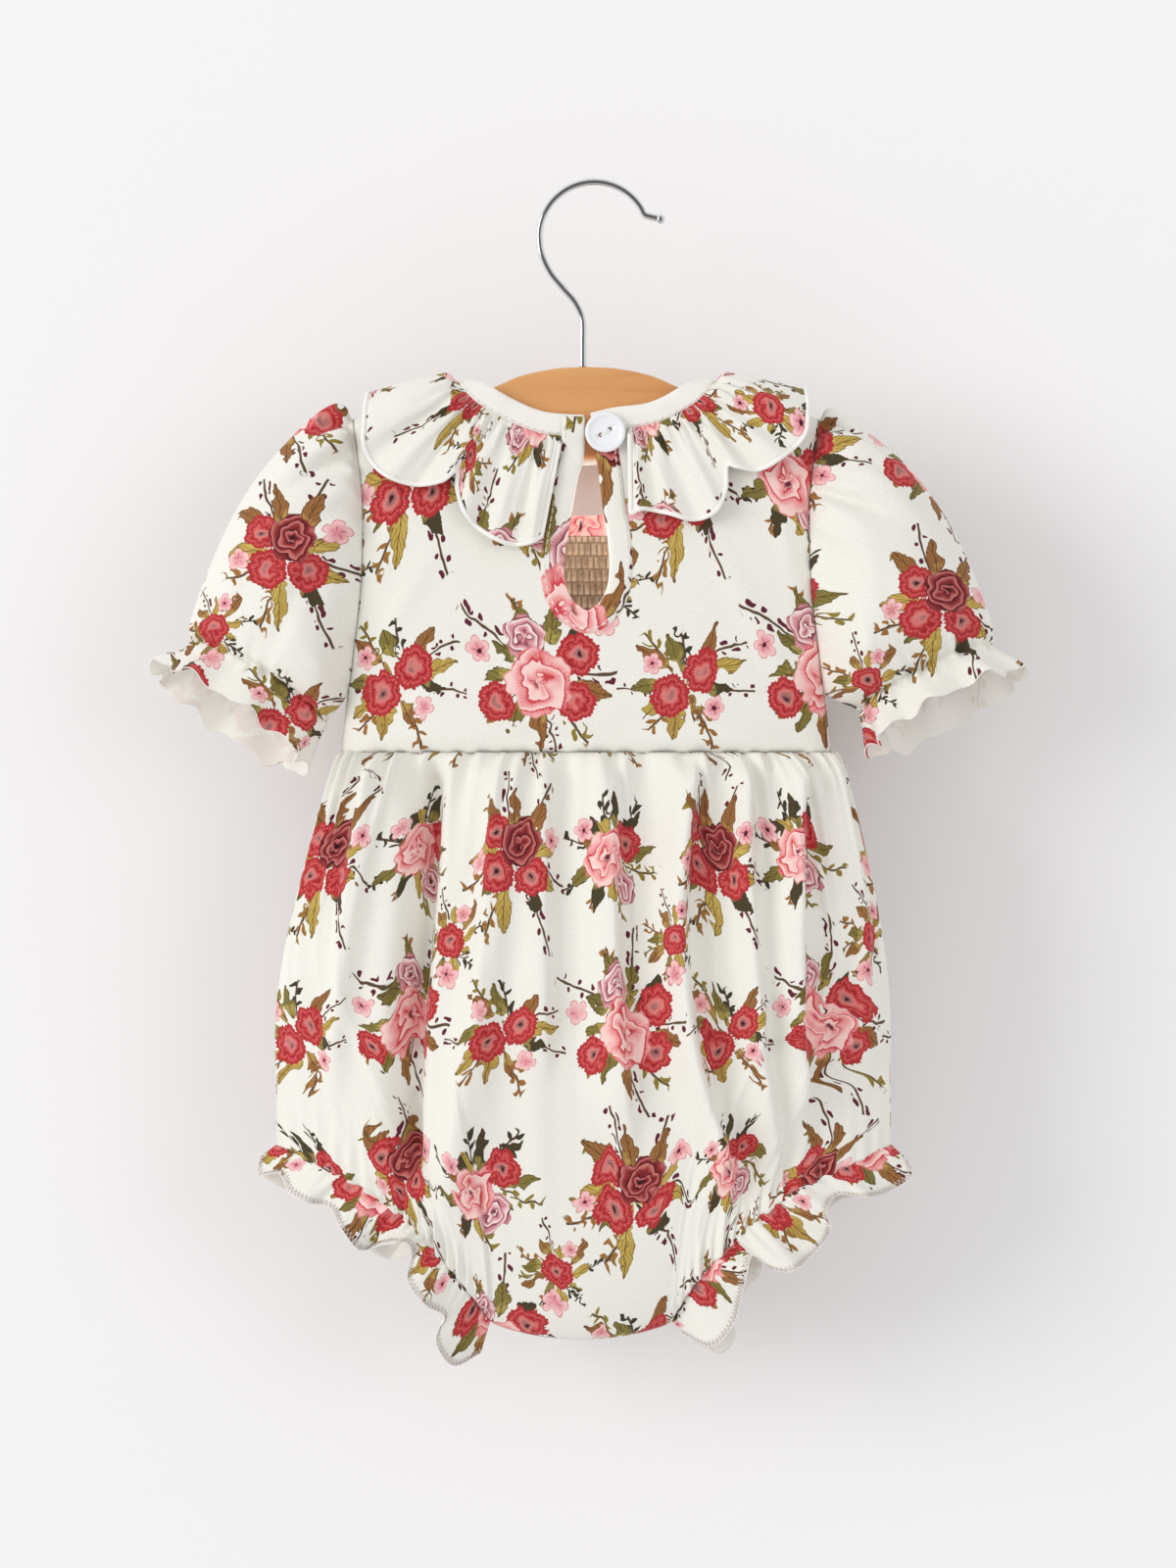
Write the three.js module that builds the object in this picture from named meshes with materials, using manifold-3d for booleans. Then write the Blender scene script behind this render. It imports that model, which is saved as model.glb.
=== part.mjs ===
// A baby romper of printed jersey on a small wooden hanger, seen in its photograph from the back.
// Units are millimetres, +Z up. The back of the garment faces -Y and its front faces +Y.
// The cloth is worked out with X = 0 at its centre line and Z = 0 at the waist seam. The whole
// group is then moved so that the origin is the inner top of the hook, where a rail carries it.

import * as THREE from "three";
import Module from "manifold-3d";

const wasm = await Module();
wasm.setup();

// Cloth and seams
const CLOTH = 1.2;
const SEAM_GAP = 0.3;
const BACK = -1;
const FRONT = 1;
const LEFT = -1;
const RIGHT = 1;

// Hanger
const WIRE_RADIUS = 1.5;
const HOOK = { x: 3.4, z: 210.6, radius: 22.4, endAngle: 24 };
const BOARD = { thickness: 9.6, bevel: 2.2 };

// Neck and shoulders
const NECK = { halfWidth: 53, bindingWidth: 9, bindingDepth: 2.8 };
const BUTTON_LIFT = { height: 2.6, x: 15, spread: 12 };
const SHOULDER_ROUND = 8;
const SHOULDER_TIP = 95;
const ARMHOLE = { top: 136, bottom: 24, halfDepth: 8 };

// Keyhole at the centre of the back
const KEYHOLE = { bandWidth: 9.6, bandDepth: 3, top: 132.6, footX: 0.6, footZ: 52.6 };
const BUTTON = { x: 7.8, z: 129.8, radius: 8.2, depth: 2.6, holeRadius: 0.9, holeApart: 4.3, holeTilt: 32, lift: 0.5 };

// Front bodice: the printed yoke ends and the smocked panel starts here
const YOKE_BOTTOM = 89;
const SMOCKING = { ribs: 9, columns: 20, depth: 0.9 };

// Lower part
const CROTCH_Z = -239.5;
const LEG_SHARE = 0.36;
const GATHERS = { count: 22, height: 1.5, fade: 20 };
const LEG_PUCKERS = { count: 17, height: 1.1, fade: 14 };

// Ruffles
const LEG_RUFFLE = { waves: 5.5, height: 4.5 };
const SLEEVE_RUFFLE = { waves: 8, height: 2.6 };
const COLLAR = { end: 5, waves: 3.1, lift: 2.2, wave: 3.2, stand: 1.6 };

// Half the width and depth of the bodice, from the waist up
const BODICE = [
  { z: -1, half: 100.2, depth: 13 },
  { z: 10, half: 99, depth: 14 },
  { z: 22, half: 97.6, depth: 15 },
  { z: 30, half: 96, depth: 15.2 },
  { z: 43, half: 94.4, depth: 15.2 },
  { z: 60, half: 92.2, depth: 15 },
  { z: 78, half: 91, depth: 14 },
  { z: 95, half: 90.8, depth: 12.6 },
  { z: 107, half: 91.3, depth: 11.6 },
  { z: 123, half: 93.3, depth: 10.4 },
  { z: 136, half: 95, depth: 9.8 },
  { z: 156, half: 95, depth: 9.6 },
];

// Top of the shoulders over the hanger, from the centre outwards
const RIDGE = [
  { x: 0, z: 152 },
  { x: 40, z: 151.4 },
  { x: 53, z: 150.5 },
  { x: 60, z: 148.6 },
  { x: 70, z: 145.4 },
  { x: 84, z: 140.4 },
  { x: 95, z: 136 },
];

// Height of the neckline of the back and of the front at a distance from the centre
const NECKLINE = [
  { x: 0, back: 127, front: 117.5 },
  { x: 17, back: 128.6, front: 119.2 },
  { x: 25, back: 130.8, front: 122 },
  { x: 33.5, back: 134.6, front: 126.8 },
  { x: 41, back: 138.8, front: 132.6 },
  { x: 47, back: 143.2, front: 139 },
  { x: 51, back: 147.2, front: 145 },
  { x: 53, back: 150.5, front: 150.5 },
];

// Distance of each side from the centre line and half the depth of the lower part, from the waist down
const LOWER = [
  { z: 1, left: 100.2, right: 102.5, depth: 13 },
  { z: -8, left: 104, right: 106.2, depth: 15.5 },
  { z: -25, left: 109.4, right: 110.6, depth: 18.8 },
  { z: -43, left: 114.2, right: 114.8, depth: 21.5 },
  { z: -62, left: 118.9, right: 118.8, depth: 23.5 },
  { z: -81, left: 122.8, right: 121.6, depth: 25 },
  { z: -100, left: 125.8, right: 123.6, depth: 25.8 },
  { z: -117, left: 127.6, right: 124.3, depth: 26 },
  { z: -138, left: 127.6, right: 123.7, depth: 26 },
  { z: -160, left: 126.5, right: 124.6, depth: 25 },
  { z: -250, left: 126.5, right: 124.6, depth: 22 },
];

// Elastic line of each leg, from the side seam (share 0) to the crotch (share 1); y is the half depth
const LEG_LINE = [
  { share: 0, left: 126.5, right: 124.6, z: -160, y: 0 },
  { share: 0.17, left: 108.5, right: 107, z: -167, y: 11 },
  { share: 0.34, left: 90, right: 86, z: -176, y: 18 },
  { share: 0.51, left: 73.5, right: 69.5, z: -187.5, y: 20 },
  { share: 0.68, left: 61, right: 55.5, z: -201.5, y: 18 },
  { share: 0.85, left: 49.5, right: 43.5, z: -216.5, y: 11.5 },
  { share: 1, left: 39, right: 35, z: -232, y: 0 },
];

// Wavy rim of each leg ruffle, by the same share; the front half of a ruffle takes the other table.
const LEFT_RIM = [
  { share: 0, x: 133, z: -165 },
  { share: 0.06, x: 133.5, z: -172 },
  { share: 0.11, x: 125, z: -171 },
  { share: 0.17, x: 120.5, z: -178 },
  { share: 0.24, x: 112, z: -182 },
  { share: 0.31, x: 103.5, z: -184.5 },
  { share: 0.38, x: 98.5, z: -192 },
  { share: 0.45, x: 91, z: -201 },
  { share: 0.52, x: 82, z: -198.4 },
  { share: 0.59, x: 73.5, z: -197 },
  { share: 0.64, x: 70.5, z: -202 },
  { share: 0.7, x: 72, z: -213.5 },
  { share: 0.77, x: 64.5, z: -223.5 },
  { share: 0.83, x: 57.5, z: -229 },
  { share: 0.89, x: 61, z: -239 },
  { share: 0.95, x: 54, z: -249.5 },
  { share: 1, x: 43, z: -245 },
];
const RIGHT_RIM = [
  { share: 0, x: 131, z: -166 },
  { share: 0.06, x: 132.5, z: -172.5 },
  { share: 0.13, x: 123, z: -178.5 },
  { share: 0.21, x: 113.5, z: -180 },
  { share: 0.29, x: 102.5, z: -179 },
  { share: 0.35, x: 97, z: -184.5 },
  { share: 0.42, x: 98.5, z: -193.5 },
  { share: 0.49, x: 92, z: -202.5 },
  { share: 0.56, x: 82, z: -209 },
  { share: 0.62, x: 73.5, z: -207.5 },
  { share: 0.68, x: 67.5, z: -203 },
  { share: 0.74, x: 64.8, z: -210.5 },
  { share: 0.8, x: 63, z: -220.5 },
  { share: 0.87, x: 59.5, z: -232.5 },
  { share: 0.94, x: 51, z: -241.5 },
  { share: 1, x: 40, z: -237 },
];

// Largest folds of the back: x at four heights, spread to the left and right, height out of the cloth,
// and the stretch of z over which it runs. A negative height is a trough.
const BACK_FOLDS = [
  { top: -84, upper: -92, lower: -100, foot: -102, left: 7, right: 5, height: 3.1, from: 0, to: -150 },
  { top: -64, upper: -67, lower: -72, foot: -72, left: 7.5, right: 6, height: -9.1, from: -2, to: -186 },
  { top: -34, upper: -36, lower: -46, foot: -54, left: 9, right: 11, height: 4.2, from: 0, to: -205 },
  { top: -15, upper: -16, lower: -16, foot: -18, left: 13, right: 3.5, height: 3.4, from: 0, to: -140 },
  { top: 11, upper: 11, lower: 14, foot: 20, left: 12, right: 3.5, height: 4.4, from: 0, to: -170 },
  { top: 43, upper: 37, lower: 42, foot: 57, left: 9, right: 4, height: 6, from: 0, to: -196 },
  { top: 62, upper: 64, lower: 68, foot: 76, left: 8, right: 4.5, height: 5.2, from: 0, to: -184 },
  { top: 84, upper: 83, lower: 84, foot: 88, left: 9, right: 4.5, height: 5.5, from: 0, to: -176 },
  { top: 97, upper: 108, lower: 114, foot: 112, left: 8, right: 6, height: 2.6, from: 0, to: -150 },
];

// The hidden front carries similar folds, no two alike
const FRONT_FOLDS = [
  { top: -90, upper: -99, lower: -106, foot: -104, left: 7, right: 5, height: 2.9, from: 0, to: -150 },
  { top: -70, upper: -76, lower: -82, foot: -84, left: 8, right: 5, height: 5.2, from: 0, to: -176 },
  { top: -46, upper: -48, lower: -53, foot: -60, left: 6, right: 8, height: -6.5, from: -2, to: -196 },
  { top: -22, upper: -24, lower: -26, foot: -28, left: 10, right: 4.5, height: 4.2, from: 0, to: -170 },
  { top: 3, upper: 2, lower: 4, foot: 6, left: 12, right: 5, height: 3.6, from: 0, to: -180 },
  { top: 28, upper: 30, lower: 33, foot: 36, left: 9, right: 5, height: 4.9, from: 0, to: -186 },
  { top: 52, upper: 56, lower: 60, foot: 66, left: 7, right: 7, height: -7, from: -2, to: -188 },
  { top: 78, upper: 85, lower: 92, foot: 94, left: 10, right: 5, height: 4.7, from: 0, to: -170 },
];

// Rings of a puff sleeve from the armhole to the hem. outer and inner are its two ends seen from the
// back, depth is half its depth, and lean is how far the front edge lies beyond the back edge.
const LEFT_SLEEVE = [
  { outerX: 95.3, outerZ: 136, innerX: 98.3, innerZ: 24, depth: 8, lean: 0 },
  { outerX: 103, outerZ: 138, innerX: 100, innerZ: 20.5, depth: 15, lean: 0.5 },
  { outerX: 115, outerZ: 131.5, innerX: 101.5, innerZ: 18, depth: 21, lean: 1 },
  { outerX: 132, outerZ: 114.5, innerX: 103, innerZ: 16, depth: 25, lean: 2 },
  { outerX: 145.5, outerZ: 94.5, innerX: 104.2, innerZ: 14.5, depth: 26, lean: 3 },
  { outerX: 156, outerZ: 72, innerX: 105.4, innerZ: 13.4, depth: 24, lean: 4 },
  { outerX: 161, outerZ: 53.5, innerX: 106.6, innerZ: 12.6, depth: 19, lean: 5 },
  { outerX: 159.5, outerZ: 45, innerX: 107, innerZ: 12, depth: 13.5, lean: 5.5 },
  { outerX: 163, outerZ: 41.5, innerX: 109, innerZ: 6.5, depth: 14, lean: 6 },
  { outerX: 170.5, outerZ: 38.5, innerX: 112.5, innerZ: -0.5, depth: 16, lean: 7 },
  { outerX: 176.5, outerZ: 35.5, innerX: 115.5, innerZ: -6.5, depth: 18, lean: 7.5 },
];
const RIGHT_SLEEVE = [
  { outerX: 95.3, outerZ: 136, innerX: 98.3, innerZ: 24, depth: 8, lean: 0 },
  { outerX: 102, outerZ: 137, innerX: 100.4, innerZ: 22.5, depth: 15, lean: 0.5 },
  { outerX: 114, outerZ: 130.5, innerX: 102.4, innerZ: 21.2, depth: 21, lean: 1 },
  { outerX: 130, outerZ: 117, innerX: 104.4, innerZ: 20.2, depth: 25, lean: 2 },
  { outerX: 144.5, outerZ: 97.5, innerX: 106.6, innerZ: 19.4, depth: 26, lean: 3 },
  { outerX: 156.5, outerZ: 75.5, innerX: 109, innerZ: 18.8, depth: 24, lean: 4 },
  { outerX: 164.5, outerZ: 54.5, innerX: 111.4, innerZ: 18.2, depth: 19, lean: 5 },
  { outerX: 165.5, outerZ: 43.5, innerX: 113.2, innerZ: 17.6, depth: 13, lean: 5.5 },
  { outerX: 168.5, outerZ: 40.5, innerX: 114, innerZ: 12.5, depth: 13.5, lean: 6 },
  { outerX: 174, outerZ: 36.5, innerX: 115, innerZ: 5.5, depth: 15.5, lean: 7 },
  { outerX: 178.5, outerZ: 32.5, innerX: 116, innerZ: 0.5, depth: 17.5, lean: 7.5 },
];

// Scalloped rim of the collar, from its end at the keyhole (0) over the shoulder (2) to the front
// centre (5). turn is where its gathers start on the neckline, in degrees round from the centre back.
const LEFT_COLLAR = [
  { at: 0, turn: 11, x: 18, z: 87.5 },
  { at: 0.2, turn: 17, x: 23, z: 84.6 },
  { at: 0.4, turn: 24, x: 32, z: 84.4 },
  { at: 0.6, turn: 32, x: 42, z: 89.6 },
  { at: 0.8, turn: 40, x: 49, z: 97 },
  { at: 0.95, turn: 46, x: 52.2, z: 107 },
  { at: 1.04, turn: 50, x: 52.4, z: 114 },
  { at: 1.14, turn: 53, x: 58, z: 109.8 },
  { at: 1.3, turn: 58, x: 69.5, z: 108.4 },
  { at: 1.5, turn: 65, x: 82, z: 112.8 },
  { at: 1.7, turn: 73, x: 89.6, z: 123 },
  { at: 1.86, turn: 82, x: 89.6, z: 135 },
  { at: 2, turn: 90, x: 89, z: 138.5 },
];
const RIGHT_COLLAR = [
  { at: 0, turn: 19.5, x: 18, z: 96.5 },
  { at: 0.2, turn: 22, x: 23, z: 98.4 },
  { at: 0.4, turn: 26, x: 32, z: 97 },
  { at: 0.6, turn: 33, x: 43, z: 94.2 },
  { at: 0.8, turn: 40, x: 52.4, z: 97.6 },
  { at: 0.95, turn: 46, x: 56.6, z: 107 },
  { at: 1.04, turn: 50, x: 57, z: 116 },
  { at: 1.14, turn: 53, x: 61, z: 115.4 },
  { at: 1.3, turn: 58, x: 70, z: 114.4 },
  { at: 1.5, turn: 65, x: 80, z: 120 },
  { at: 1.7, turn: 73, x: 88, z: 127.6 },
  { at: 1.86, turn: 82, x: 90, z: 135 },
  { at: 2, turn: 90, x: 89.5, z: 138.3 },
];

// The hidden front of the collar is alike on both sides.
const FRONT_COLLAR = [
  { at: 2, turn: 90, x: 89, z: 138.5 },
  { at: 2.2, turn: 97, x: 90, z: 131 },
  { at: 2.5, turn: 106, x: 85, z: 113 },
  { at: 2.75, turn: 113, x: 70, z: 104 },
  { at: 2.9, turn: 118, x: 62, z: 107 },
  { at: 3, turn: 122, x: 57, z: 112 },
  { at: 3.1, turn: 125, x: 56, z: 105 },
  { at: 3.35, turn: 133, x: 51, z: 91 },
  { at: 3.65, turn: 142, x: 40, z: 82 },
  { at: 3.9, turn: 149, x: 30, z: 84 },
  { at: 4, turn: 152, x: 27, z: 89 },
  { at: 4.12, turn: 155, x: 24, z: 83 },
  { at: 4.4, turn: 163, x: 15, z: 76 },
  { at: 4.7, turn: 172, x: 6, z: 74 },
  { at: 5, turn: 179.9, x: 0.1, z: 74 },
];

const COLOURS = {
  cloth: 0xf3f0e8,
  smocked: 0xb29a7d,
  wood: 0xd79a5c,
  chrome: 0xc9cbce,
  button: 0xf1f3f8,
};

const clamp = (value, low, high) => Math.min(high, Math.max(low, value));
const mix = (a, b, share) => a + (b - a) * share;
const bell = (distance, spread) => Math.exp(-((distance / spread) ** 2));

function smooth(low, high, value) {
  const t = clamp((value - low) / (high - low), 0, 1);
  return t * t * (3 - 2 * t);
}

// Reads a column of a table with a smooth curve through its rows.
function read(rows, key, column, at) {
  const rising = rows[rows.length - 1][key] > rows[0][key] ? 1 : -1;
  const value = clamp(at * rising, rows[0][key] * rising, rows[rows.length - 1][key] * rising);
  let i = 0;
  while (i < rows.length - 2 && rows[i + 1][key] * rising < value) i += 1;
  const slope = (a, b) => (rows[b][column] - rows[a][column]) / ((rows[b][key] - rows[a][key]) * rising);
  const span = (rows[i + 1][key] - rows[i][key]) * rising;
  const t = (value - rows[i][key] * rising) / span;
  const start = slope(Math.max(i - 1, 0), i + 1) * span;
  const end = slope(i, Math.min(i + 2, rows.length - 1)) * span;
  const squared = t * t;
  const cubed = squared * t;
  return (
    (2 * cubed - 3 * squared + 1) * rows[i][column] +
    (cubed - 2 * squared + t) * start +
    (3 * squared - 2 * cubed) * rows[i + 1][column] +
    (cubed - squared) * end
  );
}

// A closed wall of cloth from a grid of outer points, offset inwards by its thickness. A ring grid
// closes on itself along each row. relief(row, column) raises the outer face alone. level names the
// rows at a seam, where the cloth is offset within the plane of the seam.
function wall(grid, { ring = false, thickness = CLOTH, relief = null, level = [] } = {}) {
  const rows = grid.length;
  const columns = grid[0].length;
  const next = (j) => (ring ? (j + 1) % columns : Math.min(j + 1, columns - 1));
  const last = (j) => (ring ? (j - 1 + columns) % columns : Math.max(j - 1, 0));
  const normals = grid.map((row, i) =>
    row.map((_, j) => {
      const along = grid[i][next(j)].clone().sub(grid[i][last(j)]);
      const across = grid[Math.min(i + 1, rows - 1)][j].clone().sub(grid[Math.max(i - 1, 0)][j]);
      const normal = along.cross(across);
      return (level.includes(i) ? normal.setZ(0) : normal).normalize();
    }),
  );
  const positions = [];
  for (const side of [0, 1]) {
    for (let i = 0; i < rows; i += 1) {
      for (let j = 0; j < columns; j += 1) {
        const raised = side === 0 && relief ? relief(i, j) : 0;
        const point = grid[i][j].clone().addScaledVector(normals[i][j], raised - side * thickness);
        positions.push(point.x, point.y, point.z);
      }
    }
  }
  const index = [];
  const outer = (i, j) => i * columns + j;
  const inner = (i, j) => rows * columns + i * columns + j;
  const quad = (a, b, c, d) => index.push(a, b, c, a, c, d);
  const spans = ring ? columns : columns - 1;
  for (let i = 0; i < rows - 1; i += 1) {
    for (let j = 0; j < spans; j += 1) {
      const k = next(j);
      quad(outer(i, j), outer(i, k), outer(i + 1, k), outer(i + 1, j));
      quad(inner(i, j), inner(i + 1, j), inner(i + 1, k), inner(i, k));
    }
  }
  for (let j = 0; j < spans; j += 1) {
    const k = next(j);
    quad(outer(0, j), inner(0, j), inner(0, k), outer(0, k));
    quad(outer(rows - 1, j), outer(rows - 1, k), inner(rows - 1, k), inner(rows - 1, j));
  }
  if (!ring) {
    const end = columns - 1;
    for (let i = 0; i < rows - 1; i += 1) {
      quad(outer(i, 0), outer(i + 1, 0), inner(i + 1, 0), inner(i, 0));
      quad(outer(i, end), inner(i, end), inner(i + 1, end), outer(i + 1, end));
    }
  }
  const geometry = new THREE.BufferGeometry();
  geometry.setAttribute("position", new THREE.Float32BufferAttribute(positions, 3));
  geometry.setIndex(index);
  return geometry;
}

// Conversions between a three.js geometry and a solid that can be cut.
function toSolid(geometry) {
  return new wasm.Manifold(
    new wasm.Mesh({
      numProp: 3,
      vertProperties: new Float32Array(geometry.attributes.position.array),
      triVerts: new Uint32Array(geometry.index.array),
    }),
  );
}

function fromSolid(solid) {
  const mesh = solid.getMesh();
  const geometry = new THREE.BufferGeometry();
  geometry.setAttribute("position", new THREE.BufferAttribute(mesh.vertProperties, 3));
  geometry.setIndex(new THREE.BufferAttribute(mesh.triVerts, 1));
  return geometry;
}

// Welds a three.js primitive into an indexed mesh with position alone.
function welded(source) {
  const flat = source.index ? source.toNonIndexed() : source;
  const array = flat.attributes.position.array;
  const seen = new Map();
  const positions = [];
  const index = [];
  for (let i = 0; i < array.length; i += 3) {
    const point = [array[i], array[i + 1], array[i + 2]];
    const name = point.map((value) => Math.round(value * 1e4)).join();
    if (!seen.has(name)) {
      seen.set(name, positions.length / 3);
      positions.push(...point);
    }
    index.push(seen.get(name));
  }
  const kept = [];
  for (let i = 0; i < index.length; i += 3) {
    const [a, b, c] = index.slice(i, i + 3);
    if (a !== b && b !== c && c !== a) kept.push(a, b, c);
  }
  const geometry = new THREE.BufferGeometry();
  geometry.setAttribute("position", new THREE.Float32BufferAttribute(positions, 3));
  geometry.setIndex(kept);
  return geometry;
}

const evenly = (count, make) => Array.from({ length: count + 1 }, (_, i) => make(i / count));

// Depth of the armhole edge from the middle plane, which closes to the side seam under the arm.
function edgeDepth(z) {
  const middle = (ARMHOLE.top + ARMHOLE.bottom) / 2;
  const reach = (ARMHOLE.top - ARMHOLE.bottom) / 2;
  const inside = 1 - ((z - middle) / reach) ** 2;
  return ARMHOLE.halfDepth * Math.sqrt(Math.max(inside, 0)) + SEAM_GAP / 2;
}

// Half depth of the bodice at a point of it. It is squarer over the hanger than at the waist.
function bodiceDepth(x, z) {
  const edge = z < ARMHOLE.top ? edgeDepth(z) : SEAM_GAP / 2;
  const share = clamp(Math.abs(x) / read(BODICE, "z", "half", z), 0, 1);
  const middle = read(BODICE, "z", "depth", z);
  const square = mix(2.6, 7, smooth(60, 130, z));
  return edge + (middle - edge) * Math.sqrt(Math.max(1 - share ** square, 0));
}

const ridge = (x) => read(RIDGE, "x", "z", Math.abs(x));

// How far below the ridge the cloth is, after a length of it measured from the ridge, and back.
const QUARTER_TURN = (SHOULDER_ROUND * Math.PI) / 2;

function fallOf(length) {
  if (length < QUARTER_TURN) return SHOULDER_ROUND * (1 - Math.cos(length / SHOULDER_ROUND));
  return SHOULDER_ROUND + length - QUARTER_TURN;
}

function lengthOf(fall) {
  if (fall <= 0) return 0;
  if (fall < SHOULDER_ROUND) return SHOULDER_ROUND * Math.acos(1 - fall / SHOULDER_ROUND);
  return QUARTER_TURN + fall - SHOULDER_ROUND;
}

// A point on the bodice, or lifted off it. length is measured over the cloth from the shoulder ridge,
// down the back when it is positive and down the front when it is negative.
function onBodice(x, length, lift = 0) {
  const side = length < 0 ? FRONT : BACK;
  const along = Math.abs(length);
  const turn = Math.min(along / SHOULDER_ROUND, Math.PI / 2);
  const z = ridge(x) - fallOf(along);
  const y = side * (bodiceDepth(x, z) + lift) * Math.sin(turn);
  return new THREE.Vector3(x, y, z + lift * Math.cos(turn));
}

// Height of the neckline at x.
function neckHeight(x, side) {
  const height = read(NECKLINE, "x", side === BACK ? "back" : "front", Math.abs(x));
  const lifted = side === BACK ? BUTTON_LIFT.height * bell(x - BUTTON_LIFT.x, BUTTON_LIFT.spread) : 0;
  return height + lifted;
}

// The neckline in the flat of the cloth: x, and the length from the shoulder ridge. turn goes in
// degrees from the centre back over the right shoulder to the centre front, and back on the left.
function neckPlace(turn) {
  const angle = THREE.MathUtils.degToRad(turn);
  const side = Math.cos(angle) > 0 ? BACK : FRONT;
  const x = NECK.halfWidth * Math.sin(angle);
  const length = lengthOf(ridge(x) - neckHeight(x, side));
  return new THREE.Vector2(x, side === BACK ? length : -length);
}

// The neckline moved by a distance within the cloth, away from the neck or, when negative, into it.
function neckOffset(turn, distance) {
  const step = 1.5;
  const before = neckPlace(turn - step);
  const after = neckPlace(turn + step);
  const along = after.sub(before).normalize();
  return neckPlace(turn).add(new THREE.Vector2(-along.y, along.x).multiplyScalar(distance));
}

// Places of the columns across the bodice, with one at each end of the neckline.
function bodiceColumns(shoulder, neck) {
  const out = evenly(shoulder, (t) => mix(-SHOULDER_TIP, -NECK.halfWidth, t));
  const middle = evenly(neck, (t) => NECK.halfWidth * Math.sin(mix(-Math.PI / 2, Math.PI / 2, t)));
  const back = evenly(shoulder, (t) => mix(NECK.halfWidth, SHOULDER_TIP, t));
  return [...out, ...middle.slice(1, -1), ...back];
}

// A bodice panel between a cloth length at its top, which depends on x, and a height at its foot. Its
// rows are closer at the top, by crowding, where the cloth turns over the shoulder.
function bodicePanel(side, columns, rows, topLength, bottomZ, crowding = 1.8) {
  return evenly(rows, (v) =>
    columns.map((topX) => {
      const length = mix(topLength(topX), lengthOf(ridge(topX) - bottomZ), v ** crowding);
      const z = ridge(topX) - fallOf(length);
      const seam = z > ARMHOLE.bottom ? SEAM_GAP : 0;
      const x = (topX / SHOULDER_TIP) * (read(BODICE, "z", "half", z) - seam);
      const turned = Math.sin(Math.min(length / SHOULDER_ROUND, Math.PI / 2));
      return new THREE.Vector3(x, side * Math.max(bodiceDepth(x, z) * turned, SEAM_GAP / 2), z);
    }),
  );
}

function neckLength(x, side) {
  if (Math.abs(x) >= NECK.halfWidth - 0.01) return 0.2;
  return lengthOf(Math.max(ridge(x) - neckHeight(x, side) + SEAM_GAP, 0.05));
}

// Half the distance across the keyhole, to the middle of its bound band, and its centre at a height.
const KEYHOLE_LINE = [
  { z: 150, half: 6.9, centre: 1.6 },
  { z: 121, half: 7.2, centre: 1.6 },
  { z: 112, half: 9, centre: 1.1 },
  { z: 100, half: 10.8, centre: 0.7 },
  { z: 90, half: 12.5, centre: 0.7 },
  { z: 83, half: 13.4, centre: 0.4 },
  { z: 75, half: 14, centre: 0.2 },
  { z: 66.6, half: 13.1, centre: 0.2 },
  { z: 60, half: 10.4, centre: 0.3 },
  { z: 55.6, half: 6.4, centre: 0.5 },
];

// The keyhole seen flat, moved outwards from the middle of its band: down its right side and up its left.
function keyholePath(outwards, topZ) {
  const lowest = KEYHOLE_LINE[KEYHOLE_LINE.length - 1].z;
  const heights = [topZ, 121, 112, 100, 90, 83, 75, 66.6, 60, lowest];
  const side = (hand) =>
    heights.map((z) => {
      const round = smooth(76, lowest, z);
      const half = read(KEYHOLE_LINE, "z", "half", z) + outwards * (1 - 0.42 * round);
      return new THREE.Vector2(read(KEYHOLE_LINE, "z", "centre", z) + hand * half, z - outwards * 0.8 * round);
    });
  const foot = new THREE.Vector2(KEYHOLE.footX, KEYHOLE.footZ - outwards);
  return [...side(RIGHT), foot, ...side(LEFT).reverse()];
}

// The keyhole is cut through the back, just outside its band.
function keyholeCutter() {
  const reach = KEYHOLE.bandWidth / 2 + SEAM_GAP;
  const shape = new THREE.Shape(new THREE.SplineCurve(keyholePath(reach, 150)).getPoints(36));
  const prism = new THREE.ExtrudeGeometry(shape, { depth: 40, bevelEnabled: false, steps: 1 });
  prism.rotateX(Math.PI / 2);
  return toSolid(welded(prism)).translate([0, -3, 0]);
}

function backBodice() {
  const rows = 9;
  const grid = bodicePanel(BACK, bodiceColumns(4, 16), rows, (x) => neckLength(x, BACK), SEAM_GAP / 2);
  return fromSolid(toSolid(wall(grid, { level: [rows] })).subtract(keyholeCutter()));
}

function frontYoke() {
  const rows = 5;
  const columns = bodiceColumns(4, 14).reverse();
  const foot = YOKE_BOTTOM + SEAM_GAP / 2;
  const grid = bodicePanel(FRONT, columns, rows, (x) => neckLength(x, FRONT), foot);
  return wall(grid, { level: [rows] });
}

// The smocked panel: rows of shirring pull the cloth into ribs of short cells, on its outer face alone.
function smockedPanel() {
  const columns = evenly(SMOCKING.columns, (t) => mix(SHOULDER_TIP, -SHOULDER_TIP, t));
  const top = (x) => lengthOf(ridge(x) - YOKE_BOTTOM + SEAM_GAP / 2);
  const rows = SMOCKING.ribs * 2;
  const grid = bodicePanel(FRONT, columns, rows, top, SEAM_GAP / 2, 1);
  const relief = (i, j) => (i % 2 && j % SMOCKING.columns ? SMOCKING.depth * (j % 2 ? 1 : 0.4) : 0);
  return wall(grid, { relief, level: [0, rows] });
}

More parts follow.
